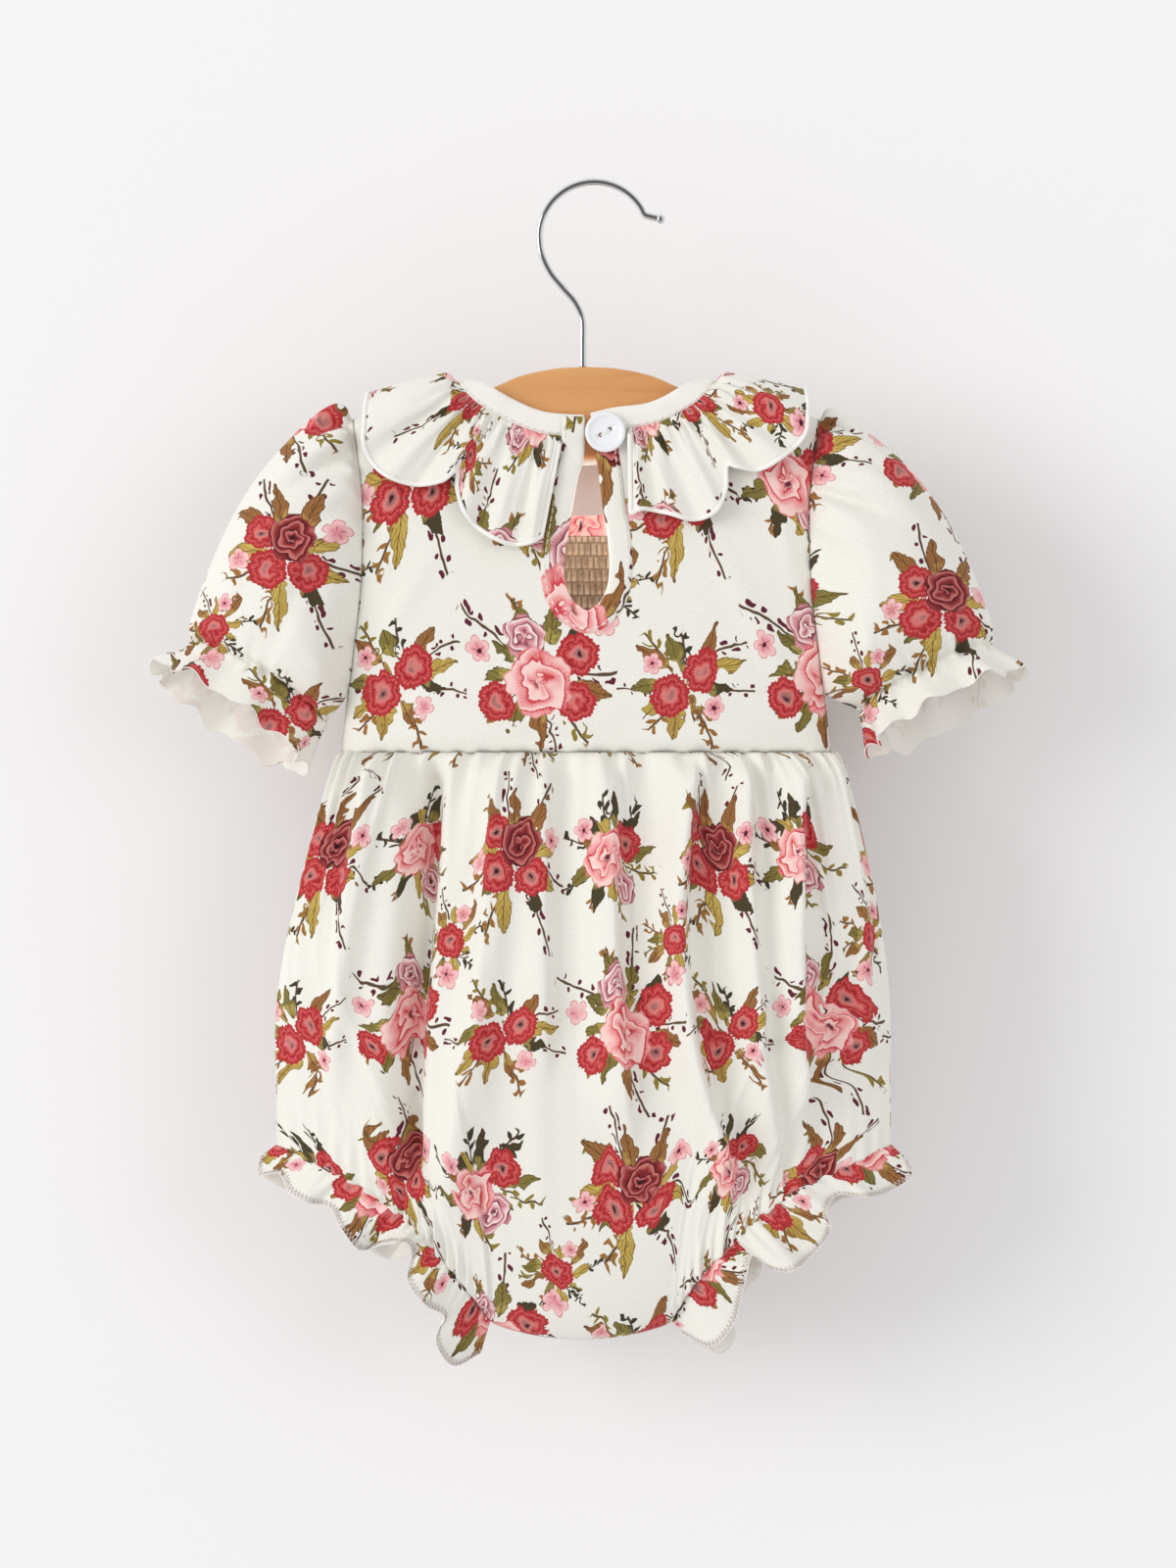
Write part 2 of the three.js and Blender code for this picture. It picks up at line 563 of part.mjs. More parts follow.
// A flat band swept along points, with a rounded section across it. wide runs along the cloth.
function band(path, widthOf, depthOf, outwardsOf, sides = 6) {
  const count = path.length;
  const grid = path.map((point, i) => {
    const before = path[Math.max(i - 1, 0)];
    const after = path[Math.min(i + 1, count - 1)];
    const along = after.clone().sub(before).normalize();
    const outwards = outwardsOf(point, i).clone();
    outwards.addScaledVector(along, -outwards.dot(along)).normalize();
    const across = new THREE.Vector3().crossVectors(along, outwards).normalize();
    return Array.from({ length: sides }, (_, k) => {
      const angle = (2 * Math.PI * k) / sides;
      return point
        .clone()
        .addScaledVector(across, (Math.cos(angle) * widthOf(i)) / 2)
        .addScaledVector(outwards, (Math.sin(angle) * depthOf(i)) / 2);
    });
  });
  return sweptSolid(grid);
}

// Closes a run of section rings with a fan at each end, facing out.
function sweptSolid(grid) {
  const sides = grid[0].length;
  const positions = grid.flat().flatMap((point) => [point.x, point.y, point.z]);
  const index = [];
  for (let i = 0; i < grid.length - 1; i += 1) {
    for (let k = 0; k < sides; k += 1) {
      const l = (k + 1) % sides;
      const [a, b, c, d] = [i * sides + k, i * sides + l, (i + 1) * sides + l, (i + 1) * sides + k];
      index.push(a, b, c, a, c, d);
    }
  }
  const end = (grid.length - 1) * sides;
  for (let k = 1; k < sides - 1; k += 1) {
    index.push(0, k + 1, k);
    index.push(end, end + k, end + k + 1);
  }
  const geometry = new THREE.BufferGeometry();
  geometry.setAttribute("position", new THREE.Float32BufferAttribute(positions, 3));
  geometry.setIndex(index);
  return facingOut(geometry);
}

// Turns a mesh round if its faces point inwards.
function facingOut(geometry) {
  const p = geometry.attributes.position;
  const at = (i) => new THREE.Vector3().fromBufferAttribute(p, i);
  const index = geometry.index.array;
  let volume = 0;
  for (let i = 0; i < index.length; i += 3) {
    volume += at(index[i]).dot(at(index[i + 1]).cross(at(index[i + 2])));
  }
  if (volume < 0) geometry.setIndex(Array.from(index).reverse());
  return geometry;
}

// The bound neck edge runs from one side of the keyhole round the front to the other.
function neckBinding() {
  const outerEdge = (hand) => {
    const reach = read(KEYHOLE_LINE, "z", "half", KEYHOLE.top) + KEYHOLE.bandWidth / 2 + 2 * SEAM_GAP;
    return read(KEYHOLE_LINE, "z", "centre", KEYHOLE.top) + hand * reach;
  };
  const startTurn = THREE.MathUtils.radToDeg(Math.asin(outerEdge(RIGHT) / NECK.halfWidth));
  const endTurn = 360 + THREE.MathUtils.radToDeg(Math.asin(outerEdge(LEFT) / NECK.halfWidth));
  const places = evenly(40, (t) => neckOffset(mix(startTurn, endTurn, t), -NECK.bindingWidth / 2 - 0.4));
  const path = places.map((place) => onBodice(place.x, place.y, -CLOTH / 2));
  const outwards = (point, i) => onBodice(places[i].x, places[i].y, 1).sub(point);
  return band(path, () => NECK.bindingWidth, () => NECK.bindingDepth, outwards);
}

function keyholeBand() {
  const flat = new THREE.SplineCurve(keyholePath(0, KEYHOLE.top)).getPoints(34);
  const path = flat.map((point) => {
    const depth = bodiceDepth(point.x, point.y) - CLOTH / 2;
    return new THREE.Vector3(point.x, -depth, point.y);
  });
  const outwards = () => new THREE.Vector3(0, -1, 0);
  return band(path, () => KEYHOLE.bandWidth, () => KEYHOLE.bandDepth, outwards);
}

// The collar is one gathered strip with a scalloped edge, from keyhole round the front to keyhole.
// out runs from the neckline (0) to the rim (1).
function collarPoint(at, out, hand) {
  const rim = at < 2 ? (hand === LEFT ? LEFT_COLLAR : RIGHT_COLLAR) : FRONT_COLLAR;
  const turn = read(rim, "at", "turn", at);
  const start = neckOffset(hand === LEFT ? 360 - turn : turn, 0.6);
  const rimX = hand * read(rim, "at", "x", at);
  const rimLength = lengthOf(ridge(rimX) - read(rim, "at", "z", at)) * (at < 2 ? 1 : -1);
  const x = mix(start.x, rimX, out);
  const length = mix(start.y, rimLength, out);
  const ripple = 0.5 - 0.5 * Math.cos(2 * Math.PI * COLLAR.waves * at);
  const flare = COLLAR.lift * Math.sqrt(out) + COLLAR.wave * ripple * smooth(0.02, 0.7, out);
  const stand = (hand === LEFT ? COLLAR.stand : 2 * COLLAR.stand) * bell(at - 2, 0.6) * out;
  const clear = SEAM_GAP + 0.9 + bell(at - 2, 0.25) + stand;
  return onBodice(x, length, CLOTH + clear + flare);
}

function collar() {
  const columns = 100;
  return evenly(3, (v) =>
    evenly(columns, (t) => {
      const along = mix(-1, 1, t);
      const at = COLLAR.end * (1 - Math.abs(along));
      return collarPoint(at, mix(0.02, 1, v), along < 0 ? LEFT : RIGHT);
    }),
  );
}

// The sleeve is a tube of rings between its two ends in the plane of the cloth.
function sleevePoint(rows, at, turn, hand) {
  const key = rows.map((row, i) => ({ ...row, ring: i }));
  const value = (column) => read(key, "ring", column, at);
  const outer = new THREE.Vector2(value("outerX"), value("outerZ"));
  const inner = new THREE.Vector2(value("innerX"), value("innerZ"));
  const centre = outer.clone().add(inner).multiplyScalar(0.5);
  const half = outer.clone().sub(inner).multiplyScalar(0.5);
  const down = new THREE.Vector2(half.y, -half.x).normalize();
  const cosine = Math.cos(turn);
  const sine = Math.sin(turn);
  const capGather = bell(at - 0.9, 1.1) * bell(turn > Math.PI ? turn - 2 * Math.PI : turn, 0.9);
  const elastic = bell(at - 7, 0.55);
  const hem = smooth(7.2, 10, at);
  const swell =
    capGather * 2.6 * Math.cos(turn * 11 + 0.6) +
    elastic * 0.9 * Math.cos(turn * 22) +
    hem * SLEEVE_RUFFLE.height * Math.cos(turn * SLEEVE_RUFFLE.waves + 0.8);
  const side = new THREE.Vector2(half.x, half.y).multiplyScalar(cosine);
  const outwards = 1 + swell / Math.hypot(half.x * cosine, half.y * cosine, value("depth") * sine);
  const lean = value("lean") * sine;
  const x = centre.x + side.x * outwards + down.x * lean;
  const z = centre.y + side.y * outwards + down.y * lean;
  const head = mix(rows[0].innerZ, rows[0].outerZ, 0.5 + 0.5 * cosine);
  const straight = mix(rows[0].innerX, rows[0].outerX, 0.5 + 0.5 * cosine);
  const armhole = (read(BODICE, "z", "half", head) - straight) * (1 - smooth(0, 2.6, at));
  return new THREE.Vector3(hand * (x + armhole), value("depth") * sine * outwards, z);
}

function sleeve(rows, hand) {
  const rings = [0, 0.6, 1.3, 2.2, 3.4, 4.8, 6, 7, 7.8, 8.8, 10];
  const around = 32;
  const grid = rings.map((at) =>
    Array.from({ length: around }, (_, j) => {
      const turn = ((hand === LEFT ? 1 : -1) * 2 * Math.PI * j) / around;
      return sleevePoint(rows, at, turn < 0 ? turn + 2 * Math.PI : turn, hand);
    }),
  );
  grid[0].forEach((point) => {
    point.x += hand * SEAM_GAP;
  });
  return wall(grid, { ring: true });
}

// Height of the folds of the lower part over its plain form.
function foldHeight(folds, x, z) {
  let height = 0;
  for (const fold of folds) {
    const rows = [
      { z: 0, x: fold.top },
      { z: -60, x: fold.upper },
      { z: -120, x: fold.lower },
      { z: -180, x: fold.foot },
      { z: -240, x: fold.foot },
    ];
    const distance = x - read(rows, "z", "x", z);
    const spread = distance < 0 ? fold.left : fold.right;
    const fade = smooth(fold.from + 2, fold.from - 12, z) * smooth(fold.to, fold.to + 40, z);
    height += fold.height * bell(distance, spread) * fade;
  }
  return height;
}

// End of a column of the lower part: on a leg's elastic line or on the crotch.
function lowerEnd(across) {
  const hand = across < 0.5 ? "left" : "right";
  const inwards = Math.min(across, 1 - across);
  if (inwards < LEG_SHARE) {
    const leg = (column) => read(LEG_LINE, "share", column, inwards / LEG_SHARE);
    return { x: (across < 0.5 ? LEFT : RIGHT) * leg(hand), z: leg("z"), y: leg("y"), leg: 1 };
  }
  const share = (across - LEG_SHARE) / (1 - 2 * LEG_SHARE);
  const corner = LEG_LINE[LEG_LINE.length - 1];
  const sag = (CROTCH_Z - corner.z) * Math.sin(Math.PI * share) ** 0.7;
  return { x: mix(-corner.left, corner.right, share), z: corner.z + sag, y: 0, leg: 0 };
}

// A point of the lower part: across runs from the left side seam to the right one, down from the
// waist to the leg or crotch.
function lowerPoint(across, down, side, folds) {
  const end = lowerEnd(across);
  const angle = Math.PI * (across - 0.5);
  const top = -SEAM_GAP / 2;
  const z = mix(top, end.z, down);
  const width = read(LOWER, "z", across < 0.5 ? "left" : "right", z);
  const depth = read(LOWER, "z", "depth", z);
  const settle = 1 - Math.sqrt(1 - down ** (end.leg ? 7 : 5));
  const x = mix(width * Math.sin(angle), end.x, smooth(0.35, 1, down));
  const plain = mix(depth * Math.cos(angle) ** 0.8, end.y, settle);
  const rim = Math.min(across, 1 - across);
  const calm = smooth(0, 0.07, rim) * (end.leg ? 1 - 0.5 * down ** 12 : 1 - down ** 6);
  const turns = 2 * Math.PI * GATHERS.count * across + 1.1 * side;
  const gather = GATHERS.height * bell(top - z, GATHERS.fade) * Math.cos(turns);
  const share = clamp(rim / LEG_SHARE, 0, 1);
  const fromEnd = (1 - down) * Math.abs(end.z);
  const pucker = end.leg * LEG_PUCKERS.height * bell(fromEnd, LEG_PUCKERS.fade) * Math.sin(Math.PI * share) ** 0.5;
  const tuck = pucker * Math.cos(2 * Math.PI * LEG_PUCKERS.count * share);
  const height = (foldHeight(folds, x, z) + gather) * calm + tuck;
  const out = Math.max(plain + height * Math.cos(angle) ** 0.3, SEAM_GAP / 2);
  return new THREE.Vector3(x + 0.55 * Math.sin(angle) * height, side * out, z);
}

function lowerPanel(side, folds, columns, rows) {
  const places = evenly(columns, (t) => t);
  if (side === FRONT) places.reverse();
  const downs = evenly(rows, (t) => mix(t, 1 - (1 - t) ** 1.6, 0.5));
  const grid = downs.map((down) => places.map((across) => lowerPoint(across, down, side, folds)));
  return wall(grid, { level: [0] });
}

// The whole loop of a leg's elastic line: back half from the side to the crotch, then the front half.
function legLoop(turn, hand) {
  const share = turn < 0.5 ? turn * 2 : 2 - turn * 2;
  const side = turn < 0.5 ? BACK : FRONT;
  const leg = (column) => read(LEG_LINE, "share", column, share);
  return new THREE.Vector3(hand * leg(hand === LEFT ? "left" : "right"), side * leg("y"), leg("z"));
}

// A point of a leg ruffle, out from the elastic line (0) to its rim (1).
function legRufflePoint(turn, out, hand) {
  const share = turn < 0.5 ? turn * 2 : 2 - turn * 2;
  const [own, other] = hand === LEFT ? [LEFT_RIM, RIGHT_RIM] : [RIGHT_RIM, LEFT_RIM];
  const elastic = legLoop(turn, hand);
  const hidden = turn < 0.5 ? 0 : smooth(0, 0.1, share) * smooth(0, 0.1, 1 - share);
  const rim = (column) => mix(read(own, "share", column, share), read(other, "share", column, share), hidden);
  const wave = Math.sin(2 * Math.PI * LEG_RUFFLE.waves * share + 0.9) * Math.sin(Math.PI * share);
  const side = turn < 0.5 ? BACK : FRONT;
  const aside = side * (2 * Math.sin(Math.PI * share) + LEG_RUFFLE.height * wave);
  const fall = new THREE.Vector3(hand * rim("x"), elastic.y + aside, rim("z")).sub(elastic);
  const start = (SEAM_GAP * (6 - 4 * Math.sin(Math.PI * share))) / fall.length();
  return elastic.addScaledVector(fall, mix(start, 1, out));
}

function legRuffle(hand) {
  const around = 68;
  const ring = (out) => Array.from({ length: around }, (_, j) => legRufflePoint(j / around, out, hand));
  return facingOut(wall(evenly(2, ring), { ring: true }));
}

// Hanger: a flat board with eased edges under the shoulders, and a bent wire hook.
function board() {
  const top = [
    { x: 0, z: 157.2 },
    { x: 13, z: 156.4 },
    { x: 27, z: 153.4 },
    { x: 39, z: 148.4 },
    { x: 50, z: 146.6 },
    { x: 60, z: 144.2 },
    { x: 70, z: 140.6 },
    { x: 79, z: 136.6 },
  ];
  const bottom = [
    { x: 81, z: 132.8 },
    { x: 79, z: 128.5 },
    { x: 60, z: 123.5 },
    { x: 30, z: 120.6 },
    { x: 0, z: 119.6 },
  ];
  const rightHand = [...top, ...bottom].map((row) => new THREE.Vector2(row.x, row.z));
  const leftHand = rightHand.slice(1, -1).map((point) => new THREE.Vector2(-point.x, point.y)).reverse();
  const inset = [...rightHand, ...leftHand];
  const centre = new THREE.Vector2(0, 139);
  const shape = new THREE.Shape(
    inset.map((point) => {
      const towards = centre.clone().sub(point);
      return point.clone().add(new THREE.Vector2(Math.sign(towards.x) * 1, Math.sign(towards.y) * BOARD.bevel));
    }),
  );
  const geometry = new THREE.ExtrudeGeometry(shape, {
    depth: BOARD.thickness - 2 * BOARD.bevel,
    bevelThickness: BOARD.bevel,
    bevelSize: BOARD.bevel,
    bevelSegments: 2,
    steps: 1,
  });
  geometry.rotateX(Math.PI / 2);
  geometry.translate(0, BOARD.thickness / 2 - BOARD.bevel, 0);
  return welded(geometry);
}

function hook() {
  const shank = [
    { x: -1.2, z: 157.5 },
    { x: -1.2, z: 168 },
    { x: -1.5, z: 177.2 },
    { x: -4.6, z: 184 },
    { x: -9.4, z: 189.6 },
    { x: -14.6, z: 196 },
    { x: -18, z: 203.4 },
  ].map((row) => new THREE.Vector3(row.x, 0, row.z));
  const arc = evenly(22, (t) => {
    const angle = THREE.MathUtils.degToRad(mix(180, HOOK.endAngle, t));
    return new THREE.Vector3(HOOK.x + HOOK.radius * Math.cos(angle), 0, HOOK.z + HOOK.radius * Math.sin(angle));
  });
  const tip = [
    { x: 26.2, z: 218.9 },
    { x: 29.6, z: 218.1 },
  ].map((row) => new THREE.Vector3(row.x, 0, row.z));
  const line = new THREE.CatmullRomCurve3([...shank, ...arc, ...tip], false, "centripetal");
  const section = new THREE.Shape();
  section.absarc(0, 0, WIRE_RADIUS, 0, 2 * Math.PI, false);
  const wire = new THREE.ExtrudeGeometry(section, { extrudePath: line, steps: 38, curveSegments: 4 });
  const ball = new THREE.SphereGeometry(2, 8, 6);
  ball.translate(30.4, 0, 217.9);
  return fromSolid(toSolid(facingOut(welded(wire))).add(toSolid(facingOut(welded(ball)))));
}

// A flat two-hole button with a raised rim, against the right-hand band of the keyhole.
function button() {
  const { radius, depth } = BUTTON;
  const profile = [
    new THREE.Vector2(0, 0),
    new THREE.Vector2(radius - 0.8, 0),
    new THREE.Vector2(radius, 0.8),
    new THREE.Vector2(radius, depth - 0.6),
    new THREE.Vector2(radius - 0.7, depth),
    new THREE.Vector2(radius - 1.5, depth - 0.1),
    new THREE.Vector2(radius - 2.6, depth - 0.9),
    new THREE.Vector2(0, depth - 1.1),
  ];
  const body = toSolid(facingOut(welded(new THREE.LatheGeometry(profile, 28))));
  const hole = (sign) => {
    const drill = new THREE.CylinderGeometry(BUTTON.holeRadius, BUTTON.holeRadius, 12, 10);
    drill.translate((sign * BUTTON.holeApart) / 2, 0, 0);
    return toSolid(facingOut(welded(drill)));
  };
  const bored = fromSolid(body.subtract(hole(-1)).subtract(hole(1)));
  bored.rotateY(THREE.MathUtils.degToRad(BUTTON.holeTilt));
  bored.rotateX(Math.PI);
  const seat = bodiceDepth(BUTTON.x, BUTTON.z) - CLOTH / 2 + KEYHOLE.bandDepth / 2 + SEAM_GAP;
  bored.translate(BUTTON.x, -seat - BUTTON.lift, BUTTON.z);
  return bored;
}

const finish = (colour, roughness, metalness = 0) =>
  new THREE.MeshStandardMaterial({ color: colour, roughness, metalness });

const cloth = () => finish(COLOURS.cloth, 0.85);
const pieces = {
  back_bodice: [backBodice(), cloth()],
  front_yoke: [frontYoke(), cloth()],
  front_smocked_panel: [smockedPanel(), finish(COLOURS.smocked, 0.9)],
  back_lower: [lowerPanel(BACK, BACK_FOLDS, 58, 10), cloth()],
  front_lower: [lowerPanel(FRONT, FRONT_FOLDS, 46, 9), cloth()],
  left_sleeve: [sleeve(LEFT_SLEEVE, LEFT), cloth()],
  right_sleeve: [sleeve(RIGHT_SLEEVE, RIGHT), cloth()],
  left_leg_ruffle: [legRuffle(LEFT), cloth()],
  right_leg_ruffle: [legRuffle(RIGHT), cloth()],
  collar: [wall(collar()), cloth()],
  neck_binding: [neckBinding(), cloth()],
  keyhole_binding: [keyholeBand(), cloth()],
  button: [button(), finish(COLOURS.button, 0.35)],
  hanger_board: [board(), finish(COLOURS.wood, 0.5)],
  hanger_hook: [hook(), finish(COLOURS.chrome, 0.2, 1)],
};

const romper = new THREE.Group();
for (const [name, [geometry, material]] of Object.entries(pieces)) {
  const mesh = new THREE.Mesh(facingOut(geometry), material);
  mesh.name = name;
  romper.add(mesh);
}
romper.position.set(-HOOK.x, 0, -(HOOK.z + HOOK.radius - WIRE_RADIUS));

export default romper;
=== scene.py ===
# %% [markdown]
# # A baby's romper on its hanger
# The object is a romper of white jersey with a print of flowers. It hangs on a wooden hanger with its
# back to the viewer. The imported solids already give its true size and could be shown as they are,
# but cloth needs a thin wall, fine gathers and a print that follows it. So each piece of cloth is made
# again as a thin, finer sheet on the form of its solid.
#
# ## The shared frame
# Lengths in the tables are millimetres, with X = 0 on the garment's centre line and Z = 0 at its waist
# seam. Metres could be used all through, but millimetres are easier to hold against a real garment.
# place() turns them into metres in the shared frame, whose origin is the point where the hook hangs.

import math

import bmesh
import bpy
import numpy as np
from mathutils import Matrix, Vector


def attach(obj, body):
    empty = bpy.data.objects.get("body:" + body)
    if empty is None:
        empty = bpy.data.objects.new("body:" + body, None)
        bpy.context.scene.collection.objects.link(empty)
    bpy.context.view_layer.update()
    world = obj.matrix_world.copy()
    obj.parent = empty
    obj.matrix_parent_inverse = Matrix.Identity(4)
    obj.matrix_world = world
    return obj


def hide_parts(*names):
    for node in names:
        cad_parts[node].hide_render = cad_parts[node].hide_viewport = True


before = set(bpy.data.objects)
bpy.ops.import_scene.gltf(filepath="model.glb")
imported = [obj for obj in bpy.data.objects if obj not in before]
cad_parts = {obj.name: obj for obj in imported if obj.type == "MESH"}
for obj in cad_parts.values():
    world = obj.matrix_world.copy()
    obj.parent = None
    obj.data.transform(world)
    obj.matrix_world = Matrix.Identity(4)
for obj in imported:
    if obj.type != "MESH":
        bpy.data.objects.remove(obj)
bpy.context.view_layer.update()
print("solids:", len(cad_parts))

HOOK = {"x": 3.4, "z": 210.6, "radius": 22.4, "end": 24}
WIRE_RADIUS = 1.5
ORIGIN = np.array([HOOK["x"], 0.0, HOOK["z"] + HOOK["radius"] - WIRE_RADIUS])
TAU = 2 * math.pi


def place(points):
    return (np.asarray(points, float) - ORIGIN) / 1000


# %% [markdown]
# ## Tables of the bodice
# The bodice hangs on the shoulders, almost flat, with a slit at its back that widens to a keyhole. Its
# form could be pushed into place by eye, but then it would drift away from its solid. The tables hold
# the same sizes that shape the solids: half width and depth at each height, the line of the shoulders,
# the neckline and the slit. A size that is wrong is then put right in one row.

# %% Tables of the bodice
CLOTH = 1.2
SEAM_GAP = 0.3
BACK, FRONT = -1, 1
LEFT, RIGHT = -1, 1
SHOULDER_ROUND = 8
SHOULDER_TIP = 95
QUARTER_TURN = SHOULDER_ROUND * math.pi / 2
ARMHOLE = {"top": 136, "bottom": 24, "half_depth": 8}
NECK = {"half": 53, "width": 9, "depth": 2.8}
YOKE_BOTTOM = 89


def columns(names, *rows):
    return {name: np.array([row[i] for row in rows], float) for i, name in enumerate(names.split())}


BODICE = columns(
    "z half depth",
    (-1, 100.2, 13), (10, 99, 14), (22, 97.6, 15), (30, 96, 15.2), (43, 94.4, 15.2), (60, 92.2, 15),
    (78, 91, 14), (95, 90.8, 12.6), (107, 91.3, 11.6), (123, 93.3, 10.4), (136, 95, 9.8), (156, 95, 9.6),
)
RIDGE = columns("x z", (0, 152), (40, 151.4), (53, 150.5), (60, 148.6), (70, 145.4), (84, 140.4), (95, 136))
NECKLINE = columns(
    "x back front",
    (0, 127, 117.5), (17, 128.6, 119.2), (25, 130.8, 122), (33.5, 134.6, 126.8), (41, 138.8, 132.6),
    (47, 143.2, 139), (51, 147.2, 145), (53, 150.5, 150.5),
)
KEYHOLE = {"width": 9.6, "depth": 3, "top": 132.6, "foot_x": 0.6, "foot_z": 52.6}
KEYHOLE_LINE = columns(
    "z half centre",
    (150, 6.9, 1.6), (121, 7.2, 1.6), (112, 9, 1.1), (100, 10.8, 0.7), (90, 12.5, 0.7), (83, 13.4, 0.4),
    (75, 14, 0.2), (66.6, 13.1, 0.2), (60, 10.4, 0.3), (55.6, 6.4, 0.5),
)
print("bodice rows:", len(BODICE["z"]))

# %% [markdown]
# ## Tables of the collar
# The collar is a gathered strip round the neck, and its free edge falls in scallops. One formula for
# all scallops would be shorter, but the real ones differ in width. So the edge is given point by
# point: at counts along the edge, turn is the place round the neck in degrees, x and z are the edge.

# %% Tables of the collar
LEFT_COLLAR = columns(
    "at turn x z",
    (0, 11, 18, 87.5), (0.2, 17, 23, 84.6), (0.4, 24, 32, 84.4), (0.6, 32, 42, 89.6), (0.8, 40, 49, 97),
    (0.95, 46, 52.2, 107), (1.04, 50, 52.4, 114), (1.14, 53, 58, 109.8), (1.3, 58, 69.5, 108.4),
    (1.5, 65, 82, 112.8), (1.7, 73, 89.6, 123), (1.86, 82, 89.6, 135), (2, 90, 89, 138.5),
)
RIGHT_COLLAR = columns(
    "at turn x z",
    (0, 19.5, 18, 96.5), (0.2, 22, 23, 98.4), (0.4, 26, 32, 97), (0.6, 33, 43, 94.2), (0.8, 40, 52.4, 97.6),
    (0.95, 46, 56.6, 107), (1.04, 50, 57, 116), (1.14, 53, 61, 115.4), (1.3, 58, 70, 114.4),
    (1.5, 65, 80, 120), (1.7, 73, 88, 127.6), (1.86, 82, 90, 135), (2, 90, 89.5, 138.3),
)
FRONT_COLLAR = columns(
    "at turn x z",
    (2, 90, 89, 138.5), (2.2, 97, 90, 131), (2.5, 106, 85, 113), (2.75, 113, 70, 104), (2.9, 118, 62, 107),
    (3, 122, 57, 112), (3.1, 125, 56, 105), (3.35, 133, 51, 91), (3.65, 142, 40, 82), (3.9, 149, 30, 84),
    (4, 152, 27, 89), (4.12, 155, 24, 83), (4.4, 163, 15, 76), (4.7, 172, 6, 74), (5, 179.9, 0.1, 74),
)
print("collar points:", len(LEFT_COLLAR["at"]) + len(FRONT_COLLAR["at"]))

# %% [markdown]
# ## Tables of the sleeves
# A puff sleeve starts flat at the armhole, swells, is drawn in by elastic and ends in a ruffle. It
# could be a bent pipe with a changing radius, but its upper and lower lines bend in their own ways. So
# each row is one ring across the sleeve: its outer and inner end, its half depth and how far it leans.

# %% Tables of the sleeves
LEFT_SLEEVE = columns(
    "outer_x outer_z inner_x inner_z depth lean",
    (95.3, 136, 98.3, 24, 8, 0), (103, 138, 100, 20.5, 15, 0.5), (115, 131.5, 101.5, 18, 21, 1),
    (132, 114.5, 103, 16, 25, 2), (145.5, 94.5, 104.2, 14.5, 26, 3), (156, 72, 105.4, 13.4, 24, 4),
    (161, 53.5, 106.6, 12.6, 19, 5), (159.5, 45, 107, 12, 13.5, 5.5), (163, 41.5, 109, 6.5, 14, 6),
    (170.5, 38.5, 112.5, -0.5, 16, 7), (176.5, 35.5, 115.5, -6.5, 18, 7.5),
)
RIGHT_SLEEVE = columns(
    "outer_x outer_z inner_x inner_z depth lean",
    (95.3, 136, 98.3, 24, 8, 0), (102, 137, 100.4, 22.5, 15, 0.5), (114, 130.5, 102.4, 21.2, 21, 1),
    (130, 117, 104.4, 20.2, 25, 2), (144.5, 97.5, 106.6, 19.4, 26, 3), (156.5, 75.5, 109, 18.8, 24, 4),
    (164.5, 54.5, 111.4, 18.2, 19, 5), (165.5, 43.5, 113.2, 17.6, 13, 5.5), (168.5, 40.5, 114, 12.5, 13.5, 6),
    (174, 36.5, 115, 5.5, 15.5, 7), (178.5, 32.5, 116, 0.5, 17.5, 7.5),
)
print("sleeve rings:", len(LEFT_SLEEVE["depth"]), len(RIGHT_SLEEVE["depth"]))

# %% [markdown]
# ## Tables of the lower part
# The lower part is a balloon of cloth, gathered at the waist and held by elastic at both legs. A cloth
# simulation could fill it, but its folds would fall where they like. The tables give its widths and
# depth, the line of each leg, the rim of each ruffle, and every main fold with its path, width and height.

# %% Tables of the lower part
CROTCH_Z = -239.5
LEG_SHARE = 0.36
LOWER = columns(
    "z left right depth",
    (1, 100.2, 102.5, 13), (-8, 104, 106.2, 15.5), (-25, 109.4, 110.6, 18.8), (-43, 114.2, 114.8, 21.5),
    (-62, 118.9, 118.8, 23.5), (-81, 122.8, 121.6, 25), (-100, 125.8, 123.6, 25.8), (-117, 127.6, 124.3, 26),
    (-138, 127.6, 123.7, 26), (-160, 126.5, 124.6, 25), (-250, 126.5, 124.6, 22),
)
LEG_LINE = columns(
    "share left right z y",
    (0, 126.5, 124.6, -160, 0), (0.17, 108.5, 107, -167, 11), (0.34, 90, 86, -176, 18),
    (0.51, 73.5, 69.5, -187.5, 20), (0.68, 61, 55.5, -201.5, 18), (0.85, 49.5, 43.5, -216.5, 11.5),
    (1, 39, 35, -232, 0),
)
LEFT_RIM = columns(
    "share x z",
    (0, 133, -165), (0.06, 133.5, -172), (0.11, 125, -171), (0.17, 120.5, -178), (0.24, 112, -182),
    (0.31, 103.5, -184.5), (0.38, 98.5, -192), (0.45, 91, -201), (0.52, 82, -198.4), (0.59, 73.5, -197),
    (0.64, 70.5, -202), (0.7, 72, -213.5), (0.77, 64.5, -223.5), (0.83, 57.5, -229), (0.89, 61, -239),
    (0.95, 54, -249.5), (1, 43, -245),
)
RIGHT_RIM = columns(
    "share x z",
    (0, 131, -166), (0.06, 132.5, -172.5), (0.13, 123, -178.5), (0.21, 113.5, -180), (0.29, 102.5, -179),
    (0.35, 97, -184.5), (0.42, 98.5, -193.5), (0.49, 92, -202.5), (0.56, 82, -209), (0.62, 73.5, -207.5),
    (0.68, 67.5, -203), (0.74, 64.8, -210.5), (0.8, 63, -220.5), (0.87, 59.5, -232.5), (0.94, 51, -241.5),
    (1, 40, -237),
)
FOLD_COLUMNS = "top upper lower foot left right height start end"
